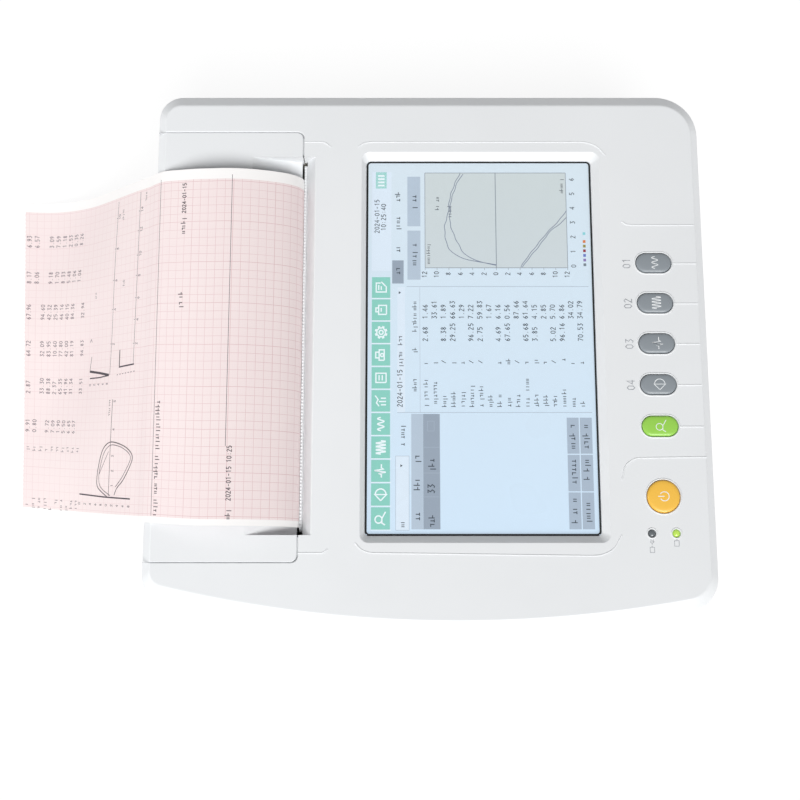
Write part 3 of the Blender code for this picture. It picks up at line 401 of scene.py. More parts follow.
FINISH = {
    "white_plastic": plastic("shell_white", srgb(236, 238, 240), 0.4),
    "case_plastic": plastic("case_white", srgb(232, 234, 236), 0.45, 1.4),
    "panel_plastic": plastic("panel_grey", srgb(150, 154, 160), 0.5, 1.4),
    "tray_plastic": plastic("tray_grey", srgb(196, 198, 202), 0.5, 1.2),
    "grey_key": plastic("key_grey", srgb(145, 152, 158), 0.36, 0.8, coat=0.1),
    "green_key": plastic("key_green", srgb(158, 216, 88), 0.34, 0.8, coat=0.1),
    "orange_key": plastic("key_orange", srgb(252, 198, 80), 0.34, 0.8, coat=0.1),
    "black_plastic": plastic("black_plastic", srgb(30, 31, 33), 0.42),
    "glass": clear_glass("touch_glass_clear"),
    "lcd": metal("lcd_back", srgb(196, 200, 206), 0.35, (1.0, 14.0, 1.0)),
    "steel": metal("steel", srgb(196, 198, 200), 0.28, (1.0, 12.0, 12.0)),
    "aluminium": metal("aluminium", srgb(214, 216, 218), 0.36, (12.0, 1.0, 12.0)),
    "brass": metal("brass", srgb(214, 178, 100), 0.28, (1.0, 10.0, 1.0)),
    "rubber": rubber("rubber", srgb(44, 45, 47)),
    "gear_plastic": plastic("gear_nylon", srgb(236, 233, 220), 0.4),
    "board": circuit_board("circuit_board"),
    "battery": plastic("battery_blue", srgb(52, 92, 150), 0.4),
    "satin": plastic("tear_bar_satin", srgb(222, 224, 226), 0.35, 0.8),
    "seal": plastic("seal_grey", srgb(205, 207, 209), 0.6),
    "paper": rolled_paper("rolled_paper"),
    "light_clear": translucent("light_green", srgb(178, 214, 92), 0.35),
    "cardboard": cardboard("cardboard"),
    "light_dark": translucent("light_dark", srgb(110, 116, 120), 0.0),
    "key_print": ink("key_print", srgb(226, 232, 236), 0.4),
    "deck_print": ink("deck_print", srgb(150, 153, 157), 0.5),
    "rear_print": ink("rear_print", srgb(226, 228, 230), 0.5),
    "ink_grey": ink("ink_grey", srgb(96, 84, 92), 0.6),
    "ink_dark": ink("ink_dark", srgb(58, 50, 58), 0.6),
}


# ---- shapes, each a closed shell added to a bmesh ----


def ring_strip(bm, rings, closed=False):
    """Joins rings of equal length into one closed shell, capped at both ends or joined end to end."""
    loops = [[bm.verts.new(point) for point in ring] for ring in rings]
    count = len(loops[0])
    follow = loops[1:] + (loops[:1] if closed else [])
    for first, second in zip(loops, follow):
        for i in range(count):
            j = (i + 1) % count
            bm.faces.new((first[i], first[j], second[j], second[i]))
    if not closed:
        bm.faces.new(loops[0][::-1])
        bm.faces.new(loops[-1])


def box(bm, x0, x1, y0, y1, z0, z1):
    place = Matrix.Translation(((x0 + x1) / 2, (y0 + y1) / 2, (z0 + z1) / 2))
    bmesh.ops.create_cube(bm, size=1.0, matrix=place @ Matrix.Diagonal((x1 - x0, y1 - y0, z1 - z0, 1.0)))


def rod(bm, place, radius, depth, sides=24, radius_top=None):
    """A cylinder or cone whose axis is the z of the place matrix, from 0 to depth."""
    bmesh.ops.create_cone(
        bm,
        cap_ends=True,
        segments=sides,
        radius1=radius,
        radius2=radius if radius_top is None else radius_top,
        depth=depth,
        matrix=place @ Matrix.Translation((0.0, 0.0, depth / 2)),
    )


def rod_z(bm, centre, radius, z0, z1, sides=24):
    rod(bm, Matrix.Translation((*centre, z0)), radius, z1 - z0, sides)


def rod_y(bm, centre, radius, y0, y1, sides=24):
    place = Matrix.Translation((centre[0], y0, centre[1])) @ Matrix.Rotation(-pi / 2, 4, "X")
    rod(bm, place, radius, y1 - y0, sides)


def prism_z(bm, points, z0, z1):
    ring_strip(bm, [[(x, y, z) for x, y in points] for z in (z0, z1)])


def prism_y(bm, points, y0, y1):
    ring_strip(bm, [[(x, y, z) for x, z in points] for y in (y0, y1)])


def lathe(bm, centre, profile, sides=64, axis="Z"):
    """A closed (radius, height) profile turned about the z line, or the y line, through centre."""
    rings = []
    for i in range(sides):
        turn = 2 * pi * i / sides
        ring = []
        for radius, height in profile:
            across = (radius * cos(turn), radius * sin(turn))
            if axis == "Z":
                ring.append((centre[0] + across[0], centre[1] + across[1], height))
            else:
                ring.append((centre[0] + across[0], height, centre[1] + across[1]))
        rings.append(ring)
    ring_strip(bm, rings, closed=True)


def rounded_box(x0, x1, y0, y1, radius, steps=8):
    corners = (
        (x1 - radius, y0 + radius, -90.0),
        (x1 - radius, y1 - radius, 0.0),
        (x0 + radius, y1 - radius, 90.0),
        (x0 + radius, y0 + radius, 180.0),
    )
    points = []
    for cx, cy, start in corners:
        for i in range(steps + 1):
            turn = radians(start + 90.0 * i / steps)
            points.append((cx + radius * cos(turn), cy + radius * sin(turn)))
    return points


def arc(cx, cy, radius, start, end, steps=12):
    found = []
    for i in range(steps + 1):
        turn = radians(start + (end - start) * i / steps)
        found.append((cx + radius * cos(turn), cy + radius * sin(turn)))
    return found


def bezier(start, middle, end, steps):
    """Points of a curve from start to end that bends towards middle; each point is a tuple of numbers."""
    found = []
    for i in range(steps + 1):
        t = i / steps
        shares = ((1 - t) ** 2, 2 * t * (1 - t), t * t)
        found.append(tuple(sum(s * v for s, v in zip(shares, values)) for values in zip(start, middle, end)))
    return found


def spline(points, steps):
    """A Catmull-Rom curve through the points."""
    ends = [points[0], *points, points[-1]]
    found = []
    for a, b, c, d in zip(ends, ends[1:], ends[2:], ends[3:]):
        for i in range(steps):
            t = i / steps
            point = []
            for p, q, r, s in zip(a, b, c, d):
                square = (2 * p - 5 * q + 4 * r - s) * t**2
                cube = (3 * q - p - 3 * r + s) * t**3
                point.append((2 * q + (r - p) * t + square + cube) / 2)
            found.append(tuple(point))
    found.append(tuple(points[-1]))
    return found


def shrink(edge, by):
    back, side, front, radii = edge
    return (back - by, side - by, front - by, tuple(max(r - by, 1.0) for r in radii))


def between(first, second, share):
    """An outline part of the way from one to another."""
    sizes = [a + (b - a) * share for a, b in zip(first[:3], second[:3])]
    radii = tuple(a + (b - a) * share for a, b in zip(first[3], second[3]))
    return (*sizes, radii)


def outline(edge, corner_steps=14, front_steps=54):
    """The body's plan: straight back and sides, a bowed front, and a round corner at each end of them."""
    back, side, front, (front_left, front_right, back_right, back_left) = edge
    bow_y = FRONT_RADIUS - front
    left_x = -side + front_left
    right_x = side - front_right
    left_y = bow_y - sqrt((FRONT_RADIUS - front_left) ** 2 - (left_x - FRONT_CENTRE_X) ** 2)
    right_y = bow_y - sqrt((FRONT_RADIUS - front_right) ** 2 - (right_x - FRONT_CENTRE_X) ** 2)
    left_turn = degrees(atan2(left_y - bow_y, left_x - FRONT_CENTRE_X)) % 360.0
    right_turn = degrees(atan2(right_y - bow_y, right_x - FRONT_CENTRE_X)) % 360.0
    points = arc(left_x, left_y, front_left, 180.0, left_turn, corner_steps)
    points += arc(FRONT_CENTRE_X, bow_y, FRONT_RADIUS, left_turn, right_turn, front_steps)[1:-1]
    points += arc(right_x, right_y, front_right, right_turn, 360.0, corner_steps)
    points += arc(side - back_right, back - back_right, back_right, 0.0, 90.0, corner_steps)
    points += arc(-side + back_left, back - back_left, back_left, 90.0, 180.0, corner_steps)
    return points


def floor_z(y, height):
    """Deck z of the level plane that is height above the table, below deck position y."""
    return (height - DECK_HEIGHT - y * sin(SLOPE)) / cos(SLOPE)


def ring_at(edge, z):
    return [(x, y, z) for x, y in outline(edge)]


def ring_above_floor(edge, height):
    return [(x, y, floor_z(y, height)) for x, y in outline(edge)]


def offset_path(path, by, closed=False):
    """The path moved sideways to its left by a distance, with mitred corners."""
    count = len(path)
    found = []
    for i, (x, y) in enumerate(path):
        before = path[i - 1] if i or closed else path[i]
        after = path[(i + 1) % count] if i < count - 1 or closed else path[i]
        first = Vector((x - before[0], y - before[1]))
        second = Vector((after[0] - x, after[1] - y))
        if first.length < 1e-6:
            first = second
        if second.length < 1e-6:
            second = first
        first.normalize()
        second.normalize()
        middle = first + second
        if middle.length < 0.35:
            middle = second
        middle.normalize()
        side = Vector((-middle.y, middle.x))
        widen = 1.0 / max(0.45, middle.dot(second))
        found.append((x + side.x * by * widen, y + side.y * by * widen))
    return found


def bead(bm, path, section, closed=False):
    """A raised or sunk moulding along a path in x and y. section is (sideways, height) points."""
    lanes = [offset_path(path, sideways, closed) for sideways, _ in section]
    rings = []
    for i in range(len(path)):
        rings.append([(*lane[i], height) for lane, (_, height) in zip(lanes, section)])
    ring_strip(bm, rings, closed)


def rounded_path(points, radius, steps=6):
    """A path with each inner corner rounded."""
    found = [points[0]]
    for before, corner, after in zip(points, points[1:], points[2:]):
        a, b, c = Vector(before), Vector(corner), Vector(after)
        reach = min(radius, (a - b).length * 0.45, (c - b).length * 0.45)
        start = b + (a - b).normalized() * reach
        end = b + (c - b).normalized() * reach
        found += bezier(tuple(start), tuple(b), tuple(end), steps)
    found.append(points[-1])
    return found


# ---- objects ----


def shade_group():
    """A node group that shades faces round and keeps an edge crisp where it is sharper than 32 degrees."""
    group = bpy.data.node_groups.new("shade_by_angle", "GeometryNodeTree")
    group.interface.new_socket("Geometry", in_out="INPUT", socket_type="NodeSocketGeometry")
    group.interface.new_socket("Geometry", in_out="OUTPUT", socket_type="NodeSocketGeometry")
    nodes = group.nodes
    start = nodes.new("NodeGroupInput")
    end = nodes.new("NodeGroupOutput")
    faces = nodes.new("GeometryNodeSetShadeSmooth")
    edges = nodes.new("GeometryNodeSetShadeSmooth")
    edges.domain = "EDGE"
    edges.inputs["Shade Smooth"].default_value = False
    angle = nodes.new("GeometryNodeInputMeshEdgeAngle")
    sharp = nodes.new("FunctionNodeCompare")
    sharp.operation = "GREATER_THAN"
    sharp.inputs["B"].default_value = radians(32.0)
    group.links.new(start.outputs[0], faces.inputs["Geometry"])
    group.links.new(faces.outputs[0], edges.inputs["Geometry"])
    group.links.new(angle.outputs[0], sharp.inputs["A"])
    group.links.new(sharp.outputs[0], edges.inputs["Selection"])
    group.links.new(edges.outputs[0], end.inputs[0])
    return group


SHADE = shade_group()


def shade(obj, weighted=False):
    modifier = obj.modifiers.new("shade", "NODES")
    modifier.node_group = SHADE
    if weighted:
        normals = obj.modifiers.new("normals", "WEIGHTED_NORMAL")
        normals.keep_sharp = True


def linked(name, data):
    obj = bpy.data.objects.new(name, data)
    bpy.context.scene.collection.objects.link(obj)
    return obj


def mesh_object(name, bm):
    """A linked object with the bmesh's mesh. The bmesh is freed."""
    mesh = bpy.data.meshes.new(name)
    bm.to_mesh(mesh)
    bm.free()
    return linked(name, mesh)


def piece(name, bm, finish, body, replaces=(), slot=None, weighted=False):
    """A bmesh in deck millimetres becomes a shown mesh that rides on a body."""
    bmesh.ops.recalc_face_normals(bm, faces=bm.faces)
    bm.transform(DECK)
    obj = mesh_object(name, bm)
    obj.data.materials.append(FINISH[finish] if isinstance(finish, str) else finish)
    shade(obj, weighted)
    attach(obj, body)
    if replaces:
        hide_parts(*replaces)
    slot = slot or finish
    return obj


def scratch(shape, place=None):
    bm = bmesh.new()
    shape(bm)
    bmesh.ops.recalc_face_normals(bm, faces=bm.faces)
    if place:
        bm.transform(place)
    return mesh_object("scratch", bm)


def carve(first, steps):
    """The bmesh of a first shape after each (operation, shape, optional place) step."""
    base = scratch(first)
    tools = [base]
    for operation, shape, *place in steps:
        tool = scratch(shape, *place)
        change = base.modifiers.new("step", "BOOLEAN")
        change.operation = operation
        change.solver = "EXACT"
        change.object = tool
        tools.append(tool)
    graph = bpy.context.evaluated_depsgraph_get()
    made = bpy.data.meshes.new_from_object(base.evaluated_get(graph))
    bm = bmesh.new()
    bm.from_mesh(made)
    bpy.data.meshes.remove(made)
    for tool in tools:
        mesh = tool.data
        bpy.data.objects.remove(tool)
        bpy.data.meshes.remove(mesh)
    bmesh.ops.remove_doubles(bm, verts=bm.verts, dist=0.002)
    bmesh.ops.dissolve_degenerate(bm, edges=bm.edges, dist=0.002)
    return bm


# ---- housing ----


def skin_rings(bottom):
    """Rings of the top body from a height up to the deck, with both edges of the chamfer rounded."""
    lower = bezier((1.0, 1.0, -8.4), (1.0, 0.75, -5.5), (0.80, 0.0, -4.0), 6)
    upper = bezier((0.14, 0.0, -0.7), (0.0, 0.0, 0.0), (-0.12, 0.0, 0.0), 5)
    rings = [ring_at(shrink(WALL_EDGE, 0.35), bottom), ring_at(WALL_EDGE, bottom + 0.4)]
    for chamfer, wall, z in lower + upper:
        edge = between(DECK_EDGE, CHAMFER_EDGE, chamfer)
        if wall:
            edge = between(edge, WALL_EDGE, wall)
        rings.append(ring_at(edge, z))
    return rings


def body_solid(bm):
    ring_strip(bm, skin_rings(PARTING_Z))


def body_cavity(bm):
    levels = (
        (shrink(WALL_EDGE, WALL), PARTING_Z - 2.0),
        (shrink(WALL_EDGE, WALL), -9.0),
        (shrink(CHAMFER_EDGE, WALL), -6.8),
        (shrink(DECK_EDGE, 1.2), -WALL),
    )
    ring_strip(bm, [ring_at(edge, z) for edge, z in levels])


def flared(bm, plan, levels):
    """A cutter whose plan grows with height, so that the hole that it leaves has a soft edge."""
    ring_strip(bm, [[(x, y, z) for x, y in plan(grow)] for grow, z in levels])


def lid_plan(right, front, back):
    return lambda grow: rounded_box(-180.0, right + grow, front - grow, back + grow, 4.0 + grow)


def screen_hole(bm):
    x0, x1, y0, y1 = SCREEN
    bevel = SCREEN_BEVEL
    inner = (x0 - GAP, x1 + GAP, y0 - GAP, y1 + GAP)
    steps = [(0.0, -9.0), (0.0, -BEVEL_DEPTH)]
    steps += [(share, -BEVEL_DEPTH * (1 - share)) for share in (0.5, 0.88)]
    steps += [(0.94, -0.26), (0.98, -0.12), (1.03, 0.0), (1.25, 1.0)]
    rings = []
    for share, z in steps:
        sides = [a + (b - a) * share for a, b in zip(inner, bevel)]
        rings.append([(x, y, z) for x, y in rounded_box(*sides, SCREEN_RADIUS + 2.4 * share)])
    ring_strip(bm, rings)


def pill(cx, cy, grow, steps=12):
    half_long = KEY_LONG / 2 + grow
    half_short = KEY_SHORT / 2 + grow
    radius = half_short - 0.01
    return rounded_box(cx - half_long, cx + half_long, cy - half_short, cy + half_short, radius, steps)


def circle(centre, radius, steps=48):
    return arc(*centre, radius, 0.0, 360.0 - 360.0 / steps, steps - 1)


def power_plan(grow):
    return circle(POWER_KEY, POWER_RADIUS + grow, 64)


def light_plan(x):
    return lambda grow: circle((x, LIGHT_Y), LIGHT_RADIUS + grow, 28)


def deck_plans():
    """Outlines of the pill keys, the power key and the lights, each a function of how far it grows."""
    pills = [lambda grow, y=y: pill(KEY_X, y, grow) for y in KEY_YS.values()]
    return pills + [power_plan] + [light_plan(x) for x in LIGHTS.values()]


def key_holes(bm):
    for plan in deck_plans():
        flared(bm, plan, ((0.3, -8.0), (0.3, -0.35), (0.5, 0.0), (1.2, 1.0)))


def hinge_holes(bm):
    for y0, y1 in ((LID_FRONT - 4.5, LID_FRONT + 5.0), (LID_BACK - 5.0, LID_BACK + 4.5)):
        rod_y(bm, HINGE, 1.5, y0, y1, 24)


def boxes(*sizes):
    """A shape of plain blocks, for Booleans."""

    def shape(bm):
        for size in sizes:
            box(bm, *size)

    return shape


def make_top_cover():
    lip = [(-68.0, 0.0), (-68.0, -3.2), (-72.8, -9.6), (-74.3, -8.6), (-69.5, -1.1), (-69.15, -0.55)]
    lip += [(-68.75, -0.2), (-68.35, -0.04)]
    opening = ((0.0, -32.0), (0.0, -0.5), (0.12, -0.2), (0.4, 0.0), (1.4, 1.0))
    bosses = ((LID_FRONT - 6.0, LID_FRONT), (LID_BACK, LID_BACK + 6.0))
    steps = [
        ("DIFFERENCE", body_cavity),
        ("DIFFERENCE", lambda bm: flared(bm, lid_plan(LID_RIGHT, LID_FRONT, LID_BACK), opening)),
        ("DIFFERENCE", boxes((LID_RIGHT - 1.0, -68.3, GROOVE_FRONT, GROOVE_BACK, -20.0, 1.0))),
        ("UNION", lambda bm: prism_y(bm, lip, GROOVE_FRONT - 1.0, GROOVE_BACK + 1.0)),
    ]
    for y0, y1 in GROOVE_ENDS:
        steps.append(("UNION", boxes((LID_RIGHT + 0.01, -68.3, y0, y1, -GROOVE_DEPTH - 0.6, -1.0))))
    steps.append(("UNION", boxes((-46.0, 113.0, -117.0, 131.0, -7.0, -1.0))))
    steps.append(("UNION", boxes((120.5, 149.5, -111.5, 64.0, -5.0, -1.0))))
    for y0, y1 in bosses:
        steps.append(("UNION", boxes((-165.4, -158.0, y0, y1, PARTING_Z, -22.5))))
    steps += [("DIFFERENCE", screen_hole), ("DIFFERENCE", key_holes), ("DIFFERENCE", hinge_holes)]
    cover = carve(body_solid, steps)
    piece("cover_shell", cover, "white_plastic", "base", ["top_cover"], weighted=True)


def make_lid():
    right = LID_RIGHT - 0.6
    region = ((0.0, -28.0), (0.0, -0.45), (-0.12, -0.18), (-0.4, 0.0), (-0.6, 0.2))
    slope = [(GROOVE_LEFT - 0.9, -0.02), (GROOVE_LEFT + 0.5, -0.2), (GROOVE_LEFT + 2.2, -0.75)]
    slope += [(-77.6, -GROOVE_DEPTH), (-77.6, -GROOVE_DEPTH - 2.6), (GROOVE_LEFT - 0.9, -2.4)]
    left = [(-98.0, -1.8), (-98.0, -12.0), (-91.0, -25.0)]
    bracket = left + [(-80.0, -25.5), (-77.6, -22.0), (-77.6, -10.0)]
    steps = [
        ("INTERSECT", lambda bm: flared(bm, lid_plan(right, LID_FRONT + GAP, LID_BACK - GAP), region)),
        ("DIFFERENCE", body_cavity),
        ("DIFFERENCE", boxes((GROOVE_LEFT - 0.7, right + 1.0, GROOVE_FRONT, GROOVE_BACK, -20.0, 1.0))),
        ("UNION", lambda bm: prism_y(bm, slope, GROOVE_FRONT - 1.0, GROOVE_BACK + 1.0)),
    ]
    for y0, y1 in GROOVE_ENDS:
        steps.append(("UNION", boxes((GROOVE_LEFT + 6.0, right - 0.01, y0, y1, -GROOVE_DEPTH - 2.6, -1.0))))
    for y0, y1 in ((-111.5, -108.6), (112.0, 115.0)):
        steps.append(("UNION", lambda bm, y0=y0, y1=y1: prism_y(bm, bracket, y0, y1)))
    steps.append(("UNION", lambda bm: rod_y(bm, HINGE, 2.2, LID_FRONT + GAP, LID_BACK - GAP, 32)))
    for y0, y1 in ((-115.0, -106.0), (109.5, 117.5)):
        steps.append(("DIFFERENCE", lambda bm, y0=y0, y1=y1: rod_y(bm, PLATEN, 5.3, y0, y1, 40)))
    steps.append(("DIFFERENCE", hinge_holes))
    for x in (-150.0, -120.0):
        steps.append(("UNION", boxes((x, x + 1.6, LID_FRONT + 3.0, LID_BACK - 3.0, -6.0, -1.8))))
    piece("lid_shell", carve(body_solid, steps), "white_plastic", "lid", ["printer_lid"], weighted=True)


def case_outer(bm):
    foot = ((4.5, 3.3), (3.5, 3.75), (0.8, 6.4), (0.2, 7.3), (0.0, 8.4))
    rings = [ring_above_floor(shrink(WALL_EDGE, by), height) for by, height in foot]
    rings += [ring_at(WALL_EDGE, PARTING_Z - GAP - 0.4), ring_at(shrink(WALL_EDGE, 0.35), PARTING_Z - GAP)]
    ring_strip(bm, rings)


def case_inner(bm):
    rings = [
        ring_above_floor(shrink(WALL_EDGE, 5.5), CASE_BOTTOM + 2.7),
        ring_above_floor(shrink(WALL_EDGE, WALL), CASE_BOTTOM + 5.4),
        ring_at(shrink(WALL_EDGE, WALL), PARTING_Z + 2.0),
    ]
    ring_strip(bm, rings)


def make_bottom_case():
    boards = ((-30.0, 95.0, -12.0, 112.0, 37.5), (104.0, 156.0, 40.0, 134.0, 22.5))

    def posts(bm):
        for centre in SCREWS:
            rod_z(bm, centre, 4.5, CASE_BOTTOM + 1.0, 19.0, 28)
        for x0, x1, y0, y1, top in boards:
            for x in (x0 + 5.0, x1 - 5.0):
                for y in (y0 + 5.0, y1 - 5.0):
                    rod_z(bm, (x, y), 3.0, CASE_BOTTOM + 1.0, top, 20)

    def below(bm):
        for centre in SCREWS:
            rod_z(bm, centre, 3.7, 0.0, 5.9, 32)
        box(bm, *BATTERY_DOOR, 0.0, 8.0)
        for i in range(5):
            y = -96.0 + 6.0 * i
            prism_z(bm, rounded_box(122.0, 146.0, y, y + 2.5, 1.2, 5), 0.0, 8.0)

    def screw_holes(bm):
        for centre in SCREWS:
            rod_z(bm, centre, 1.7, 2.0, 30.0, 20)

    def sides(bm):
        box(bm, -40.0, 150.0, 158.0, 168.0, -80.0, -40.0)
        for i in range(9):
            y = 30.0 + 7.0 * i
            vent = rounded_box(40.0, 58.0, y, y + 3.0, 1.45, 5)
            ring_strip(bm, [[(x, y, -depth) for depth, y in vent] for x in (159.0, 171.0)])

    steps = [
        ("DIFFERENCE", case_inner),
        ("UNION", posts, BASE_TO_DECK),
        ("DIFFERENCE", screw_holes, BASE_TO_DECK),
        ("DIFFERENCE", below, BASE_TO_DECK),
        ("DIFFERENCE", sides),
    ]
    piece("case_shell", carve(case_outer, steps), "case_plastic", "base", ["bottom_case"], weighted=True)


TRIM = ((-0.45, -0.15), (-0.42, 0.06), (-0.25, 0.27), (0.0, 0.34), (0.25, 0.27), (0.42, 0.06), (0.45, -0.15))


def trim_lines():
    """The fine raised lines that frame the lid, the screen and the key column."""
    right_x = KEY_X + KEY_LONG / 2
    lines = [
        [(-75.8, 132.2), (-63.3, 132.2), (-59.6, 128.9)],
        [(-75.8, -117.5), (-61.5, -117.5), (-59.2, -115.3)],
        [(-43.0, 128.9), (-40.0, 131.2), (-35.7, 132.2), (96.1, 132.2), (103.4, 129.6), (108.1, 123.8)],
        [(-43.2, -111.8), (-39.7, -115.8), (-34.5, -117.5), (97.4, -119.2), (105.5, -115.8), (110.4, -107.3)],
        [(116.6, 81.4), (119.3, 79.3), (123.0, 79.0), (160.2, 79.0)],
        [(111.5, -75.5), (113.6, -66.8), (119.5, -62.7), (161.2, -62.1)],
    ]
    for y in KEY_YS.values():
        lines.append([(right_x + 1.0, y - 0.3), (160.6, y - 0.3)])
    return [rounded_path(line, 4.0) for line in lines]


def make_trim():
    bm = bmesh.new()
    for path in trim_lines():
        bead(bm, path, TRIM)
    piece("trim_lines", bm, "white_plastic", "base")
    bm = bmesh.new()
    rim = ((0.5, -0.25), (0.5, 0.1), (0.7, 0.28), (0.95, 0.32), (1.2, 0.2), (1.35, -0.02), (1.35, -0.25))
    for plan in deck_plans():
        lanes = [plan(grow) for grow, _ in rim]
        rings = [[(*lane[i], z) for lane, (_, z) in zip(lanes, rim)] for i in range(len(lanes[0]))]
        ring_strip(bm, rings, closed=True)
    piece("key_rims", bm, "white_plastic", "base")


def make_lid_seal():
    """A pale strip down in the gap round the lid, so that the gap reads as a fine grey line."""
    bm = bmesh.new()
    section = ((-0.13, -2.2), (-0.13, -0.9), (0.13, -0.9), (0.13, -2.2))
    left, right, inner = -165.5, LID_RIGHT - GAP, LID_RIGHT - GAP - 4.0
    front, back = LID_FRONT + GAP / 2, LID_BACK - GAP / 2
    bead(bm, [(left, front)] + arc(inner, front + 4.0, 4.0, -90.0, 0.0, 8), section)
    bead(bm, arc(inner, back - 4.0, 4.0, 0.0, 90.0, 8) + [(left, back)], section)
    box(bm, right - 0.26, right + 0.26, front + 4.0, GROOVE_FRONT - 1.2, -2.2, -0.9)
    box(bm, right - 0.26, right + 0.26, GROOVE_BACK + 2.0, back - 4.0, -2.2, -0.9)
    piece("lid_seal", bm, "seal", "base", slot="white_plastic")


# ---- flat marks: strokes, patches and figures, each a thin closed plate on a surface ----

DIGITS = {
    "0": [[(0.5, 1.6), (0.14, 1.25), (0.14, 0.35), (0.5, 0.0), (0.86, 0.35), (0.86, 1.25), (0.5, 1.6)]],
    "1": [[(0.22, 1.25), (0.55, 1.6), (0.55, 0.0)]],
    "2": [[(0.12, 1.3), (0.5, 1.6), (0.85, 1.25), (0.12, 0.0), (0.9, 0.0)]],
    "3": [[(0.12, 1.55), (0.8, 1.55), (0.42, 0.95), (0.86, 0.55), (0.5, 0.0), (0.12, 0.12)]],
    "4": [[(0.7, 0.0), (0.7, 1.6), (0.08, 0.5), (0.95, 0.5)]],
    "5": [[(0.84, 1.58), (0.22, 1.58), (0.16, 0.9), (0.62, 0.95), (0.86, 0.5), (0.5, 0.0), (0.12, 0.15)]],
    "6": [[(0.76, 1.56), (0.3, 1.1), (0.14, 0.45), (0.5, 0.0), (0.86, 0.45), (0.5, 0.88), (0.2, 0.62)]],
    "7": [[(0.1, 1.58), (0.88, 1.58), (0.36, 0.0)]],
    "8": [[(0.5, 0.86), (0.18, 1.24), (0.5, 1.6), (0.82, 1.24), (0.5, 0.86), (0.14, 0.42), (0.5, 0.0)],
          [(0.5, 0.0), (0.86, 0.42), (0.5, 0.86)]],
    "9": [[(0.8, 0.98), (0.5, 0.72), (0.14, 1.14), (0.5, 1.6), (0.86, 1.14), (0.7, 0.45), (0.24, 0.04)]],
    ".": [[(0.38, 0.08), (0.62, 0.08)]],
    ":": [[(0.4, 0.3), (0.6, 0.3)], [(0.4, 1.1), (0.6, 1.1)]],
    "-": [[(0.15, 0.75), (0.85, 0.75)]],
    "%": [[(0.1, 0.1), (0.9, 1.5)]],
    " ": [],
}

# Marks that stand for writing without being any letter: a bar, with or without a spur.
STROKES = (
    [[(0.3, 0.0), (0.3, 1.05)]],
    [[(0.15, 0.0), (0.15, 1.5)], [(0.15, 0.5), (0.75, 0.5)]],
    [[(0.15, 0.1), (0.85, 0.1)], [(0.5, 0.1), (0.5, 1.0)]],
    [[(0.15, 0.95), (0.85, 0.95)], [(0.7, 0.95), (0.7, 0.05)]],
    [[(0.2, 0.05), (0.2, 0.95)], [(0.7, 0.05), (0.7, 0.95)]],
    [[(0.5, -0.4), (0.5, 1.0)]],
)


def icon_circle(cx, cy, radius, start=0.0, end=360.0, steps=14):
    return arc(cx, cy, radius, start, end, steps)


def icon_wave(cycles, low, high, steps=7):
    count = int(cycles * steps * 2)
    middle, half = (low + high) / 2, (high - low) / 2
    return [(i / count, middle + half * sin(2 * pi * cycles * i / count)) for i in range(count + 1)]


def icon_gear():
    points = []
    for i in range(8):
        turn = 45.0 * i
        points += arc(0.5, 0.5, 0.34, turn - 13, turn + 13, 2)
        points += arc(0.5, 0.5, 0.46, turn + 17, turn + 28, 1)
    return points + points[:1]


FRAME_LINE = [(0.15, 0.1), (0.15, 0.9), (0.85, 0.9), (0.85, 0.1), (0.15, 0.1)]
ICONS = {
    "person": [icon_circle(0.42, 0.66, 0.27), [(0.02, 0.16), (0.16, 0.4), (0.36, 0.4)],
               [(0.5, 0.4), (0.98, 0.12)]],
    "loop": [[(0.05, 0.5), (0.5, 0.95), (0.5, 0.05), (0.05, 0.5)], icon_circle(0.5, 0.5, 0.42, -90, 90, 9)],
    "pulse": [[(0.0, 0.45), (0.22, 0.45), (0.3, 0.62), (0.4, 0.1), (0.52, 0.98), (0.63, 0.3), (0.72, 0.45),
               (1.0, 0.45)]],
    "zigzag": [icon_wave(4.0, 0.1, 0.9, 3)],
    "wave": [icon_wave(2.5, 0.25, 0.75)],
    "bars": [[(0.2, 0.1), (0.2, 0.5)], [(0.45, 0.1), (0.45, 0.65)], [(0.7, 0.1), (0.7, 0.5)],
             [(0.1, 0.65), (0.35, 0.85), (0.6, 0.72), (0.9, 0.95)]],
    "clipboard": [FRAME_LINE, [(0.3, 0.65), (0.7, 0.65)], [(0.3, 0.4), (0.7, 0.4)], [(0.4, 0.9), (0.6, 0.9)]],
    "printer": [[(0.1, 0.25), (0.1, 0.65), (0.9, 0.65), (0.9, 0.25), (0.1, 0.25)],
                [(0.28, 0.65), (0.28, 0.92), (0.72, 0.92), (0.72, 0.65)], icon_circle(0.5, 0.42, 0.12)],
    "gear": [icon_gear(), icon_circle(0.5, 0.5, 0.16)],
    "device": [[(0.15, 0.08), (0.15, 0.7), (0.85, 0.7), (0.85, 0.08), (0.15, 0.08)],
               [(0.35, 0.7), (0.35, 0.92), (0.65, 0.92), (0.65, 0.7)], [(0.35, 0.5), (0.65, 0.5)]],
    "note": [[(0.85, 0.55), (0.85, 0.9), (0.15, 0.9), (0.15, 0.1), (0.6, 0.1)], [(0.3, 0.7), (0.7, 0.7)],
             [(0.3, 0.5), (0.6, 0.5)], [(0.6, 0.15), (0.95, 0.5)]],
    "power": [icon_circle(0.5, 0.45, 0.38, 120, 420, 18), [(0.5, 0.45), (0.5, 0.98)]],
    "battery": [[(0.1, 0.2), (0.1, 0.8), (0.8, 0.8), (0.8, 0.2), (0.1, 0.2)], [(0.93, 0.38), (0.93, 0.62)]],
    "plug": [[(0.0, 0.5), (0.3, 0.5)], icon_circle(0.55, 0.5, 0.26, 90, 270, 8), [(0.55, 0.24), (0.55, 0.76)],
             [(0.6, 0.36), (0.85, 0.36)], [(0.6, 0.64), (0.85, 0.64)]],
}


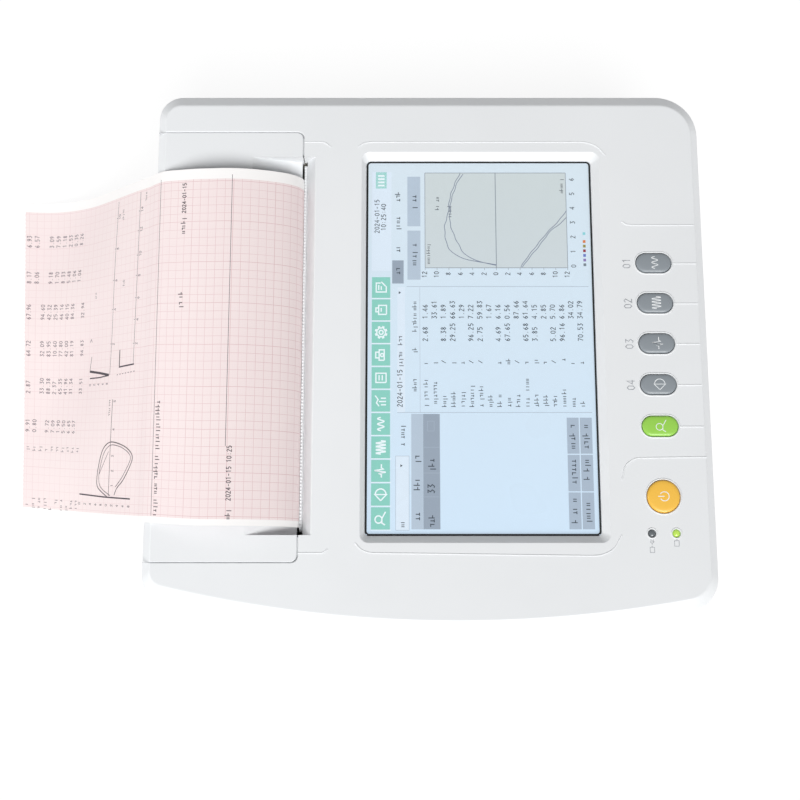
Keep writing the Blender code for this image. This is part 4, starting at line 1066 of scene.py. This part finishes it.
# Digits and strokes are drawn on a unit cell. These are shares of the size of the writing.
CELL = 0.62
FIGURE_PITCH = 0.74
STROKE_WEIGHT = 0.135


class Marks:
    """Collects thin plates on a surface. to_surface(u, w, height) gives a point in deck millimetres."""

    def __init__(self, to_surface, low, high, widest_step=0.0):
        self.bm = bmesh.new()
        self.to_surface = to_surface
        self.low = low
        self.high = high
        self.widest_step = widest_step

    def finer(self, points):
        """The points with more between them where they lie further apart than the surface's bend allows."""
        if not self.widest_step:
            return points
        found = [points[0]]
        for first, second in zip(points, points[1:]):
            steps = max(1, ceil(hypot(second[0] - first[0], second[1] - first[1]) / self.widest_step))
            for i in range(1, steps + 1):
                share = i / steps
                found.append(tuple(a + (b - a) * share for a, b in zip(first, second)))
        return found

    def line(self, points, width):
        points = self.finer([p for i, p in enumerate(points) if not i or p != points[i - 1]])
        right, left = offset_path(points, -width / 2), offset_path(points, width / 2)
        rings = []
        for (u0, w0), (u1, w1) in zip(left, right):
            corners = ((u0, w0, self.low), (u1, w1, self.low), (u1, w1, self.high), (u0, w0, self.high))
            rings.append([self.to_surface(*corner) for corner in corners])
        ring_strip(self.bm, rings)

    def patch(self, points):
        ring_strip(self.bm, [[self.to_surface(u, w, h) for u, w in points] for h in (self.low, self.high)])

    def rect(self, u0, u1, w0, w1):
        self.patch([(u0, w0), (u1, w0), (u1, w1), (u0, w1)])

    def frame(self, u0, u1, w0, w1, width):
        self.line([(u0, w0), (u1, w0)], width)
        self.line([(u0, w1), (u1, w1)], width)
        self.line([(u0, w0), (u0, w1)], width)
        self.line([(u1, w0), (u1, w1)], width)

    def glyphs(self, shapes, u, w, size, pitch, weight):
        """Stroked shapes side by side from (u, w), reading along u with their tops towards smaller w."""
        for shape in shapes:
            for stroke in shape:
                self.line([(u + x * size * CELL, w - y * size * CELL) for x, y in stroke], weight)
            u += pitch

    def number(self, text, u, w, size, weight=None):
        shapes = [DIGITS[c] for c in text]
        self.glyphs(shapes, u, w, size, size * FIGURE_PITCH, weight or size * STROKE_WEIGHT)

    def words(self, u0, u1, w, size, weight=None):
        """Illegible marks with the rhythm of writing, from u0 to u1."""
        count = max(1, int((u1 - u0) / (size * CELL)))
        shapes = [DRAW.choice(STROKES) if DRAW.random() > 0.12 else [] for _ in range(count)]
        self.glyphs(shapes, u0, w, size, size * CELL, weight or size * STROKE_WEIGHT)

    def icon(self, name, u, w, size, weight):
        """An icon centred on (u, w)."""
        for stroke in ICONS[name]:
            self.line([(u + (x - 0.5) * size, w - (y - 0.5) * size) for x, y in stroke], weight)

    def piece(self, name, finish, body):
        return piece(name, self.bm, finish, body)


DRAW = random.Random(7)


# ---- screen ----


def page(u, w, height):
    """Display units (1280 along the reading direction, 800 down the page) to the deck."""
    x = LIT[0] + 0.4 + (LIT[1] - LIT[0] - 0.8) * w / PAGE_HIGH
    y = LIT[2] + 0.4 + (LIT[3] - LIT[2] - 0.8) * u / PAGE_WIDE
    return (x, y, PICTURE_TOP + height)


def layer(level):
    """Marks of the display picture, in thin plates of which higher levels cover lower ones."""
    return Marks(page, 0.012 + 0.012 * level, 0.022 + 0.012 * level)


def show(marks, name, colour, *rgb, **options):
    """The marks of a layer become a piece of the picture in one lit colour."""
    marks.piece(f"screen_{name}", picture_colour(f"picture_{colour}", srgb(*rgb), **options), "base")


def draw_background():
    ground = layer(0)
    ground.rect(-15.5, PAGE_WIDE + 22.5, -15.5, PAGE_HIGH + 11.0)
    show(ground, "ground", "ground", 207, 226, 243, shade=srgb(216, 226, 232))
    plot = layer(1)
    plot.rect(916, 1266, 198, 722)
    show(plot, "plot", "plot", 202, 211, 221, shade=srgb(204, 212, 210))
    pale = layer(1)
    for u0, u1, w0, w1 in ((402, 846, 96, 124), (0, 252, 90, 138), (905, 1270, 2, 74)):
        pale.rect(u0, u1, w0, w1)
    show(pale, "pale", "pale", 219, 231, 243)


def draw_tiles():
    tiles = layer(1)
    white = layer(2)
    names = "person loop pulse zigzag wave bars clipboard printer gear device note"
    for i, name in enumerate(names.split()):
        start = 3 + 80.4 * i
        tiles.rect(start, start + 75, 3, 70)
        white.icon(name, start + 37.5, 37, 46, 4.6)
    tiles.rect(1208, 1269, 16, 56)
    for i in range(4):
        white.rect(1216 + 12 * i, 1222 + 12 * i, 24, 48)
    show(tiles, "tiles", "teal", 140, 205, 192)
    for i in range(11):
        white.line([(1.4 + 80.4 * i, 2), (1.4 + 80.4 * i, 74)], 2)
    show(white, "icons", "white", 236, 244, 248)


def draw_bars():
    light = layer(1)
    for u0, u1, w0, w1 in ((1068, 1252, 133, 181), (873, 1052, 133, 181), (4, 397, 146, 188)):
        light.rect(u0, u1, w0, w1)
    show(light, "headers", "header", 182, 196, 211)
    light = layer(1)
    for w0 in (703, 750):
        for u0 in (4, 132, 260):
            light.rect(u0, u0 + 124, w0, w0 + 43)
    show(light, "buttons", "button", 170, 184, 200)
    dark = layer(1)
    dark.rect(859, 943, 77, 119)
    dark.rect(4, 397, 188.5, 248)
    show(dark, "selected", "selected", 152, 164, 179)
    thin = layer(2)
    for u in (113, 194, 282):
        thin.line([(u, 190), (u, 247)], 1.6)
    thin.frame(338, 372, 204, 228, 1.4)
    thin.line([(848, 130), (848, 796)], 1.8)
    thin.line([(402, 96), (402, 796)], 1.8)
    thin.line([(402, 178), (846, 178)], 1.2)
    thin.frame(0.8, 252, 90, 138, 1.4)
    show(thin, "rules", "rule", 170, 182, 196)


TRACE_OUT = ((458, 927), (399, 937), (345, 948), (304, 968), (281, 998), (271, 1033), (272, 1068))
TRACE_OUT += ((280, 1102), (286, 1141), (295, 1185), (304, 1215), (316, 1241), (331, 1264))
TRACE_IN = ((456, 925), (392, 941), (350, 962), (328, 990), (310, 1022), (292, 1078), (289, 1112))
TRACE_IN += ((296, 1160), (303, 1190), (312, 1216), (327, 1243), (343, 1262))
TRACE_LOW = ((548, 918), (589, 972), (616, 1007), (652, 1046), (689, 1085), (721, 1124))
TRACE_LOWER = ((556, 918), (596, 970), (638, 1020), (668, 1056), (700, 1080), (721, 1100))


def draw_plot():
    """The flow loop: wavering curves left and right of a zero line, with a numbered scale."""
    grey = layer(2)
    grey.frame(916, 1266, 198, 722, 2.2)
    grey.line([(916, 460), (1266, 460)], 3.0)
    for i in range(13):
        grey.line([(916, 198 + 43.6 * i), (908, 198 + 43.6 * i)], 1.6)
    show(grey, "axes", "axis", 142, 150, 160)
    curves = layer(3)
    for trace, phase in ((TRACE_OUT, 0.0), (TRACE_IN, 1.0), (TRACE_LOW, 2.0), (TRACE_LOWER, 3.0)):
        path = spline(trace, 8)
        shaken = [(u, w + 2.6 * sin(0.11 * u + phase) * sin(0.043 * u)) for w, u in path]
        curves.line(shaken, 2.4)
    show(curves, "traces", "trace", 118, 128, 150)
    figures = layer(2)
    for i in range(13):
        value = 12 - 2 * i
        figures.number(str(abs(value)), 880 if abs(value) > 9 else 889, 204 + 43.6 * i, 17)
    for i in range(7):
        figures.number(str(i), 917 + 53.2 * i, 752, 17)
    figures.words(1128, 1180, 250, 16)
    figures.words(1100, 1150, 296, 16)
    figures.words(930, 1010, 216, 15)
    figures.words(1190, 1250, 712, 15)
    return figures


LEGEND = {
    "grey": (922, srgb(120, 132, 140)),
    "violet": (939, srgb(140, 120, 176)),
    "blue": (956, srgb(104, 120, 190)),
    "red": (973, srgb(150, 52, 62)),
    "olive": (990, srgb(150, 142, 70)),
    "orange": (1007, srgb(214, 120, 62)),
    "cyan": (1036, srgb(140, 208, 214)),
}


def draw_legend():
    for name, (u, colour) in LEGEND.items():
        square = layer(2)
        square.rect(u, u + 10, 780, 790)
        square.piece(f"screen_legend_{name}", picture_colour(f"picture_{name}", colour), "base")


def value_text(whole):
    """A made-up reading with two decimals."""
    return f"{DRAW.randint(0, 10**whole - 1)}.{DRAW.randint(0, 99):02d}"


def draw_writing(figures):
    """Everything that reads as text: figures are made up, and words are only marks."""
    figures.number("2024-01-15", 1043, 29, 17)
    figures.number("10:25:40", 1052, 53, 17)
    for u0, u1 in ((1158, 1210), (1052, 1112), (972, 1004), (878, 924)):
        figures.words(u0, u1, 106, 21)
    figures.words(1130, 1192, 166, 22)
    figures.words(924, 1006, 166, 22)
    figures.number("2024-01-15", 421, 114, 18)
    figures.words(560, 680, 114, 18)
    for u0, u1 in ((464, 528), (609, 640), (686, 756), (762, 796)):
        figures.words(u0, u1, 166, 18)
    for row in range(18):
        w = 206 + 33.2 * row
        figures.words(421, 421 + DRAW.choice((34, 46, 60, 88, 110)), w, 18)
        if row % 4 == 2 or row == 5:
            figures.number("%", 574, w, 18)
        else:
            figures.words(570, 570 + DRAW.choice((12, 24)), w, 18)
        if row % 3 != 1:
            figures.number(value_text(1 + row % 2), 652, w, 18)
        figures.number(value_text(1 + (row % 5 == 1) + (row % 7 == 3)), 732, w, 18)
    figures.words(10, 40, 122, 20)
    figures.words(286, 370, 122, 20)
    for u0, u1 in ((32, 92), (135, 180), (226, 258)):
        figures.words(u0, u1, 176, 24, 3.2)
    figures.words(10, 64, 228, 24, 3.2)
    figures.number("33", 124, 228, 24, 3.2)
    figures.words(200, 252, 228, 24, 3.2)
    for w in (732, 779):
        for u0 in (24, 156, 276):
            figures.words(u0, u0 + 92, w, 23, 3.0)
    for u, w in ((219, 110), (826, 104)):
        figures.patch([(u - 5, w - 3), (u, w + 5), (u + 5, w - 3)])
    show(figures, "writing", "writing", 62, 70, 80)


def screen_rings(*levels):
    """Rings of the touch panel's outline, each moved in from its edge and at a height."""
    x0, x1, y0, y1 = SCREEN
    rings = []
    for inset, z in levels:
        plan = rounded_box(x0 + inset, x1 - inset, y0 + inset, y1 - inset, SCREEN_RADIUS - inset)
        rings.append([(x, y, z) for x, y in plan])
    return rings


def make_screen():
    draw_background()
    draw_tiles()
    draw_bars()
    figures = draw_plot()
    draw_legend()
    draw_writing(figures)
    glass = bmesh.new()
    ring_strip(glass, screen_rings((0.25, -4.9), (0.0, -4.7), (0.0, -4.0), (0.25, -3.8)))
    piece("touch_panel", glass, "glass", "base", ["touch_glass"])
    border = bmesh.new()
    lanes = screen_rings((0.0, -3.78), (0.0, -3.70), (1.0, -3.70), (1.0, -3.78))
    ring_strip(border, list(zip(*lanes)), closed=True)
    piece("screen_border_line", border, "black_plastic", "base")


# ---- keys ----


CAP_LEVELS = ((0.0, -5.6), (0.0, 0.05), (-0.12, 0.4), (-0.4, 0.68), (-0.9, 0.88), (-1.8, 1.03))
CAP_LEVELS += ((-3.2, 1.13),)
CAP_TOP = 1.18


def make_key(name, centre, plan, flat, finish, thickness, icon):
    """A key's cap, collar and stem, and the icon in its top. flat is how far in the top is level."""
    cap = bmesh.new()
    flared(cap, plan, CAP_LEVELS + ((flat, CAP_TOP),))
    flared(cap, plan, ((1.2, -7.2), (1.2, -5.4)))
    rod_z(cap, centre, 2.0, -8.2, -7.0, 16)
    piece(f"{name}_cap", cap, finish, name, [name])
    cx, cy = centre
    marks = Marks(lambda u, w, height: (cx + w, cy + u, 1.0 + height), 0.0, thickness)
    marks.icon(*icon)
    marks.piece(f"{name}_icon", "key_print", name)


def make_keys():
    icons = {"key_1": "wave", "key_2": "zigzag", "key_3": "pulse", "key_4": "loop", "key_start": "person"}
    for name, y in KEY_YS.items():
        finish = "green_key" if name == "key_start" else "grey_key"
        icon = (icons[name], 0.0, 0.6, 7.4, 0.42)
        make_key(name, (KEY_X, y), lambda grow: pill(KEY_X, y, grow), -5.4, finish, 0.2, icon)
    icon = ("power", 0.0, 0.0, 7.0, 0.5)
    make_key("key_power", POWER_KEY, power_plan, -7.5, "orange_key", 0.21, icon)


def make_lights():
    lenses = {"light_left": "light_dark", "light_right": "light_clear"}
    for name, x in LIGHTS.items():
        lens = bmesh.new()
        levels = [(0.0, -10.0), (0.0, -0.8)]
        for turn in map(radians, (20, 40, 60, 78)):
            levels.append((-2.0 * (1 - cos(turn)), -0.8 + 0.9 * sin(turn)))
        flared(lens, light_plan(x), levels)
        piece(f"{name}_lens", lens, lenses[name], "base", [name], slot="light_clear")
    marks = Marks(lambda u, w, height: (w, u, height), 0.0, 0.03)
    marks.icon("plug", -111.0, 127.6, 4.2, 0.34)
    marks.icon("battery", -115.6, 127.6, 4.2, 0.34)
    marks.icon("battery", -111.9, 141.8, 4.4, 0.34)
    for number, y in zip(("01", "02", "03", "04"), KEY_YS.values()):
        marks.number(number, y - 3.4, 121.0, 4.6, 0.55)
    marks.piece("deck_print", "deck_print", "base")


# ---- printed strip ----


def strip_profile():
    """The strip's side view with the distance along it at each point, in millimetres."""
    points = spline(STRIP_PATH, 12)
    lengths = [0.0]
    for (x0, z0), (x1, z1) in zip(points, points[1:]):
        lengths.append(lengths[-1] + hypot(x1 - x0, z1 - z0))
    return points, lengths


STRIP_POINTS, STRIP_LENGTHS = strip_profile()


def share_between(value, start, end):
    return min(max((value - start) / (end - start), 0.0), 1.0)


def eased(share):
    return share * share * (3.0 - 2.0 * share)


def veer(x):
    drift = share_between(x, VEER_START, STRIP_PATH[-1][0])
    return STRIP_VEER * (drift + eased(drift)) / 2


def path_point(along):
    """The strip's side view at a distance from the slot: (x, z) and the normal there."""
    i = min(max(bisect(STRIP_LENGTHS, along), 1), len(STRIP_LENGTHS) - 1)
    (x0, z0), (x1, z1) = STRIP_POINTS[i - 1], STRIP_POINTS[i]
    step = STRIP_LENGTHS[i] - STRIP_LENGTHS[i - 1]
    share = (along - STRIP_LENGTHS[i - 1]) / step
    normal = ((z1 - z0) / step, (x0 - x1) / step)
    return (x0 + (x1 - x0) * share, z0 + (z1 - z0) * share), normal


def on_strip(along, across, height):
    """A point on the strip: along it from the slot, across it from its middle to the back, and above it."""
    (x, z), normal = path_point(along + STRIP_SKEW * across * (along / STRIP_END) ** 3)
    y = PAPER_CENTRE_Y + across + veer(x)
    z -= eased(share_between(x, FALL_START, FALL_END)) * y * tan(SLOPE)
    calm = share_between(along, 120.0, 175.0) * share_between(along, 244.0, 214.0)
    height += 0.5 * sin(across * 0.06 + along * 0.03) * calm
    return (x + normal[0] * height, y, z + normal[1] * height)


def make_strip():
    """The strip ends in the teeth of the bar that it was torn on, and its back margin is a little wide."""
    across_steps, along_steps = int((PAPER_WIDTH + BACK_MARGIN) / 1.5), 120
    bm = bmesh.new()
    uv = bm.loops.layers.uv.new("strip")
    sheets = []
    spots = {}
    for height in (-PAPER_THICK / 2, PAPER_THICK / 2):
        rows = []
        for i in range(along_steps + 1):
            row = []
            for j in range(across_steps + 1):
                across = -PAPER_WIDTH / 2 + 1.5 * j
                along = (TORN_END - 0.35 * (j % 2)) * i / along_steps
                vert = bm.verts.new(on_strip(along, across, height))
                spots[vert] = (along / 100.0, across / 100.0)
                row.append(vert)
            rows.append(row)
        sheets.append(rows)
    lower, upper = sheets
    for rows in sheets:
        for first, second in zip(rows, rows[1:]):
            for a, b, c, d in zip(first, second, second[1:], first[1:]):
                bm.faces.new((a, b, c, d))
    for edge_low, edge_high in ((lower[0], upper[0]), (lower[-1], upper[-1])):
        for a, b, c, d in zip(edge_low, edge_low[1:], edge_high[1:], edge_high):
            bm.faces.new((a, b, c, d))
    for side in (0, -1):
        low, high = [row[side] for row in lower], [row[side] for row in upper]
        for a, b, c, d in zip(low, low[1:], high[1:], high):
            bm.faces.new((a, b, c, d))
    for face in bm.faces:
        for loop in face.loops:
            loop[uv].uv = spots[loop.vert]
    strip = piece("chart_strip", bm, chart_paper("chart_paper"), "printout", ["printout"], slot="paper")
    marks = print_marks()


def strip_marks():
    """Marks on the strip: u reads across it towards the back, and w runs back up it towards the slot."""
    half = PAPER_THICK / 2
    return Marks(lambda u, w, height: on_strip(-w, u, height), half - 0.01, half + 0.035, widest_step=2.0)


def at(along):
    """The strip's w, which runs back towards the slot, for a distance from the slot."""
    return -along


def print_table(grey):
    """Six columns of readings near the torn end, with a name and a unit before them."""
    columns = ((75.7, 1), (49.8, 1), (24.3, 2), (-1.1, 2), (-26.4, 2), (-52.2, 1))
    for row in range(10):
        along = 228.5 - 5.17 * row
        for start, whole in columns:
            if (row + whole) % 7 != 3:
                grey.number(value_text(whole), start, at(along), 3.0, 0.36)
        grey.words(-64.5, -59.5, at(along), 2.9, 0.32)
        grey.words(-102.0, -102.0 + DRAW.choice((5.5, 7.5, 9.5)), at(along), 3.0, 0.36)


def print_axes(grey):
    """Two long axes with ticks and figures, and the two lines that rule off the strip's blank end."""
    grey.line([(-59.7, at(51.0)), (104.0, at(51.0))], 0.32)
    grey.line([(-101.0, at(96.8)), (103.0, at(98.2))], 0.32)
    axes = (
        ((-10.0, 122.1), (100.0, 120.9), (3.0, 18.0, 31.7, 46.0, 59.0, 74.7, 87.7), 93.0),
        ((-15.3, 148.8), (98.8, 146.5), (4.6, 27.0, 46.0, 67.0, 87.5), 85.0),
    )
    for (low, near), (high, far), places, label in axes:
        grey.line([(low, at(near)), (high, at(far))], 0.32)
        for i, u in enumerate(places):
            along = near + (far - near) * (u - low) / (high - low)
            grey.line([(u, at(along)), (u, at(along + 1.4))], 0.3)
            grey.number(str(2 * i + 2), u - 1.0, at(along - 3.4), 2.4, 0.28)
        grey.words(label, label + 8.0, at(far - 7.0), 2.4, 0.26)
    for i in range(7):
        u, along = -15.8 + 0.2 * i, 140.2 - 3.1 * i
        grey.line([(u, at(along)), (u + 0.2, at(along - 1.2))], 0.5)
    for i in range(5):
        grey.number(str(2 * i), -21.5, at(171.5 - 5.2 * i), 2.2, 0.26)
    grey.words(36.0, 41.0, at(168.0), 2.4, 0.28)
    grey.words(41.0, 46.5, at(135.5), 2.4, 0.28)
    grey.line([(7.4, at(174.4)), (9.4, at(173.2)), (7.4, at(172.0))], 0.4)


LOOP_OUTER = ((-91.3, 146.0), (-86.0, 157.2), (-80.0, 158.7), (-71.3, 156.8), (-63.8, 153.7), (-59.4, 149.2))
LOOP_OUTER += ((-57.6, 142.4), (-59.5, 131.0), (-62.6, 123.1), (-66.8, 119.2), (-72.2, 121.4), (-80.7, 128.4))
LOOP_OUTER += ((-85.6, 135.0), (-89.9, 138.0))
LOOP_INNER = ((-90.4, 142.8), (-85.6, 154.0), (-79.5, 156.6), (-71.6, 154.6), (-65.0, 151.6), (-61.2, 147.6))
LOOP_INNER += ((-59.4, 142.0), (-60.8, 132.0), (-63.8, 124.4), (-67.0, 121.2), (-71.2, 123.0), (-79.4, 130.0))
LOOP_INNER += ((-85.0, 137.0),)


def print_charts(dark):
    """A closed flow loop with its axes, a steep V and a stepped trace."""
    dark.line([(u, at(s)) for u, s in spline(LOOP_OUTER, 6)], 0.62)
    dark.line([(u, at(s)) for u, s in spline(LOOP_INNER, 6)], 0.42)
    dark.line([(-78.0, at(156.6)), (-63.5, at(146.0))], 0.36)
    dark.line([(-90.4, at(179.0)), (-91.4, at(150.0)), (-91.8, at(120.1))], 0.85)
    dark.line([(-90.7, at(144.7)), (-31.0, at(143.6))], 0.42)
    for i in range(10):
        dark.number(str(2 * i % 10), -97.0, at(178.0 - 6.4 * i), 2.3, 0.26)
    for i, u in enumerate((-85.0, -76.0, -67.0, -50.6, -33.0)):
        dark.number(str(i + 1), u, at(140.0), 2.3, 0.26)
    dark.words(-43.0, -29.0, at(146.0), 2.4, 0.28)
    dark.line([(-11.8, at(173.7)), (-13.4, at(161.5)), (-15.3, at(149.8))], 1.5)
    dark.line([(-15.5, at(149.8)), (-16.4, at(162.0)), (-16.4, at(173.2))], 0.8)
    dark.line([(-2.2, at(172.0)), (-11.8, at(173.7))], 0.4)
    dark.line([(0.0, at(138.0)), (-10.9, at(137.8)), (-10.0, at(121.3))], 0.9)


def print_text(dark):
    """Lines of writing across the strip: figures are made up, and words are only marks."""
    dark.words(67.5, 80.0, at(79.5), 3.4, 0.5)
    dark.number("2024-01-15", 80.5, at(79.5), 2.6, 0.45)
    dark.words(19.5, 33.0, at(79.8), 3.4, 0.5)
    dark.words(-101.0, -33.0, at(93.0), 3.4, 0.48)
    dark.words(-103.6, -92.0, at(47.4), 3.2, 0.45)
    dark.number("2024-01-15 10:25", -91.0, at(47.4), 2.7, 0.42)


def print_marks():
    grey, dark = strip_marks(), strip_marks()
    print_table(grey)
    print_axes(grey)
    print_charts(dark)
    print_text(dark)
    figures = grey.piece("strip_figures", "ink_grey", "printout")
    return [figures, dark.piece("strip_traces", "ink_dark", "printout")]


# ---- printer ----


def make_printer():
    teeth = bmesh.new()
    rings = []
    for i in range(225):
        y = -104.2 + i
        top = -7.9 if i % 2 else -8.3
        section = ((-76.1, -11.6), (-74.4, -11.6), (-74.4, -8.7), (-75.2, top), (-76.1, top))
        rings.append([(x, y, z) for x, z in section])
    ring_strip(teeth, rings)
    piece("tear_bar_teeth", teeth, "satin", "base", ["tear_bar"], slot="steel")
    roll = bmesh.new()
    front, back = PAPER_CENTRE_Y - PAPER_WIDTH / 2, PAPER_CENTRE_Y + PAPER_WIDTH / 2
    layers = [8.8 + 14.2 * i / 28 for i in range(29)]
    profile = [(r, front + (0.12 if i % 2 else 0.0)) for i, r in enumerate(layers)]
    profile += [(r, back - (0.12 if i % 2 else 0.0)) for i, r in reversed(list(enumerate(layers)))]
    lathe(roll, ROLL, profile, 72, "Y")
    piece("paper_roll_wound", roll, "paper", "roll", ["paper_roll"])
    roller = bmesh.new()
    profile = [(2.8, -104.0), (6.6, -104.0), (7.0, -103.6), (7.0, 108.6), (6.6, 109.0), (2.8, 109.0)]
    lathe(roller, PLATEN, profile, 56, "Y")
    piece("platen_sleeve", roller, "rubber", "platen", ["platen_roller"])


# ---- rear panel ----


def make_rear():
    def panel_plate(bm):
        rings = []
        for grow, y in ((0.0, 161.9), (0.0, 163.3), (0.4, 163.7)):
            plan = rounded_box(-39.7 + grow, 149.7 - grow, -79.7 + grow, -40.3 - grow, 1.2)
            rings.append([(x, y, z) for x, z in plan])
        ring_strip(bm, rings)

    def windows(bm):
        inlet, patient = (111.7, 142.3, -70.3, -49.7), (49.7, 90.3, -66.3, -53.7)
        network, usb = (14.7, 31.3, -68.3, -53.7), (-8.3, 6.3, -66.3, -58.7)
        for x0, x1, z0, z1 in (inlet, patient, network, usb):
            box(bm, x0, x1, 155.0, 170.0, z0, z1)
        rod_y(bm, (-26.0, -61.0), 3.3, 155.0, 170.0, 28)

    def seats(bm):
        for x, z in PANEL_SCREWS:
            rod_y(bm, (x, z), 2.6, 162.7, 170.0, 24)

    steps = [("DIFFERENCE", windows), ("DIFFERENCE", seats)]
    piece("rear_plate", carve(panel_plate, steps), "panel_plastic", "base", ["rear_panel"])
    screws = bmesh.new()
    for x, z in PANEL_SCREWS:
        profile = ((2.3, 162.75), (2.3, 163.2), (1.9, 163.6), (0.9, 163.75))
        ring_strip(screws, [[(u, y, w) for u, w in circle((x, z), r, 20)] for r, y in profile])
    for x in (52.0, 88.0):
        for radius, y0, y1, sides in ((2.6, 163.0, 166.0, 6), (1.6, 166.0, 166.6, 20)):
            rod_y(screws, (x, -60.0), radius, y0, y1, sides)
    piece("rear_screws", screws, "steel", "base")
    gold = bmesh.new()
    for i in range(8):
        x = 18.6 + 1.27 * i
        box(gold, x, x + 0.6, 153.2, 163.8, -57.4, -57.0)
    for row, (z, first, count) in enumerate(((-61.8, 60.0, 7), (-58.2, 58.5, 8))):
        for i in range(count):
            rod_y(gold, (first + 3.2 * i, z), 0.45, 164.4, 167.7, 10)
    for i in range(4):
        x = -5.0 + 2.2 * i
        box(gold, x, x + 1.1, 152.4, 162.3, -61.55, -61.42)
    piece("rear_contacts", gold, "brass", "base")
    marks = Marks(lambda u, w, height: (u, 163.7 + height, -w), 0.0, 0.04)
    marks.icon("plug", 127.0, 44.2, 5.0, 0.4)
    marks.icon("person", 70.0, 48.6, 5.0, 0.4)
    marks.icon("device", 23.0, 48.6, 5.0, 0.4)
    marks.icon("loop", -1.0, 53.4, 5.0, 0.4)
    marks.frame(45.0, 95.0, 44.5, 71.0, 0.4)
    marks.piece("rear_print", "rear_print", "base")


# ---- carried-over nodes ----

BEVELLED = """ac_inlet patient_socket lan_socket usb_socket battery_door thermal_head head_heatsink
head_bracket gear_bracket key_board main_board power_board paper_tray battery_pack""".split()


def finish_nodes():
    """The CAD nodes: finished materials, welded shading and a small bevel on blocky ones."""
    for name, node in frame["nodes"].items():
        for place in node.material_slots:
            place.material = FINISH[place.material.name.split(".")[0]]
        weld = node.modifiers.new("weld", "WELD")
        weld.merge_threshold = 0.000002
        if name in BEVELLED:
            bevel = node.modifiers.new("bevel", "BEVEL")
            bevel.width = 0.00022
            bevel.segments = 2
            bevel.limit_method = "ANGLE"
            bevel.angle_limit = radians(50.0)
        shade(node)


# ---- room ----


def add_floor():
    bm = bmesh.new()
    bmesh.ops.create_grid(bm, x_segments=8, y_segments=8, size=FLOOR_HALF)
    floor = mesh_object("floor", bm)
    floor.data.materials.append(pale_floor("floor_pale"))


def add_camera():
    back = Vector((0.0, -sin(CAMERA_LEAN), cos(CAMERA_LEAN)))
    data = bpy.data.cameras.new("camera")
    data.lens = CAMERA_LENS
    data.sensor_width = 36.0
    camera = linked("camera", data)
    camera.location = DECK @ (Vector(CAMERA_AIM) + back * CAMERA_DISTANCE)
    camera.rotation_euler = (SLOPE + CAMERA_LEAN, 0.0, 0.0)
    bpy.context.scene.camera = camera


def add_light(name, direction, distance, size, power, colour):
    data = bpy.data.lights.new(name, "AREA")
    data.shape = "DISK"
    data.size = size
    data.energy = power
    data.color = colour
    light = linked(name, data)
    where = Vector(direction).normalized()
    light.location = ORIGIN + where * distance
    light.rotation_euler = where.to_track_quat("Z", "Y").to_euler()


def add_world():
    world = bpy.data.worlds.new("studio")
    world.use_nodes = True
    background = world.node_tree.nodes["Background"]
    background.inputs["Color"].default_value = (0.97, 0.985, 1.0, 1.0)
    background.inputs["Strength"].default_value = WORLD_STRENGTH
    bpy.context.scene.world = world


make_top_cover()
make_lid()
make_bottom_case()
make_trim()
make_lid_seal()
make_screen()
make_keys()
make_lights()
make_strip()
make_printer()
make_rear()
finish_nodes()
add_floor()
add_camera()
for light in AREA_LIGHTS:
    add_light(*light)
add_world()
bpy.context.scene.view_settings.view_transform = "Standard"
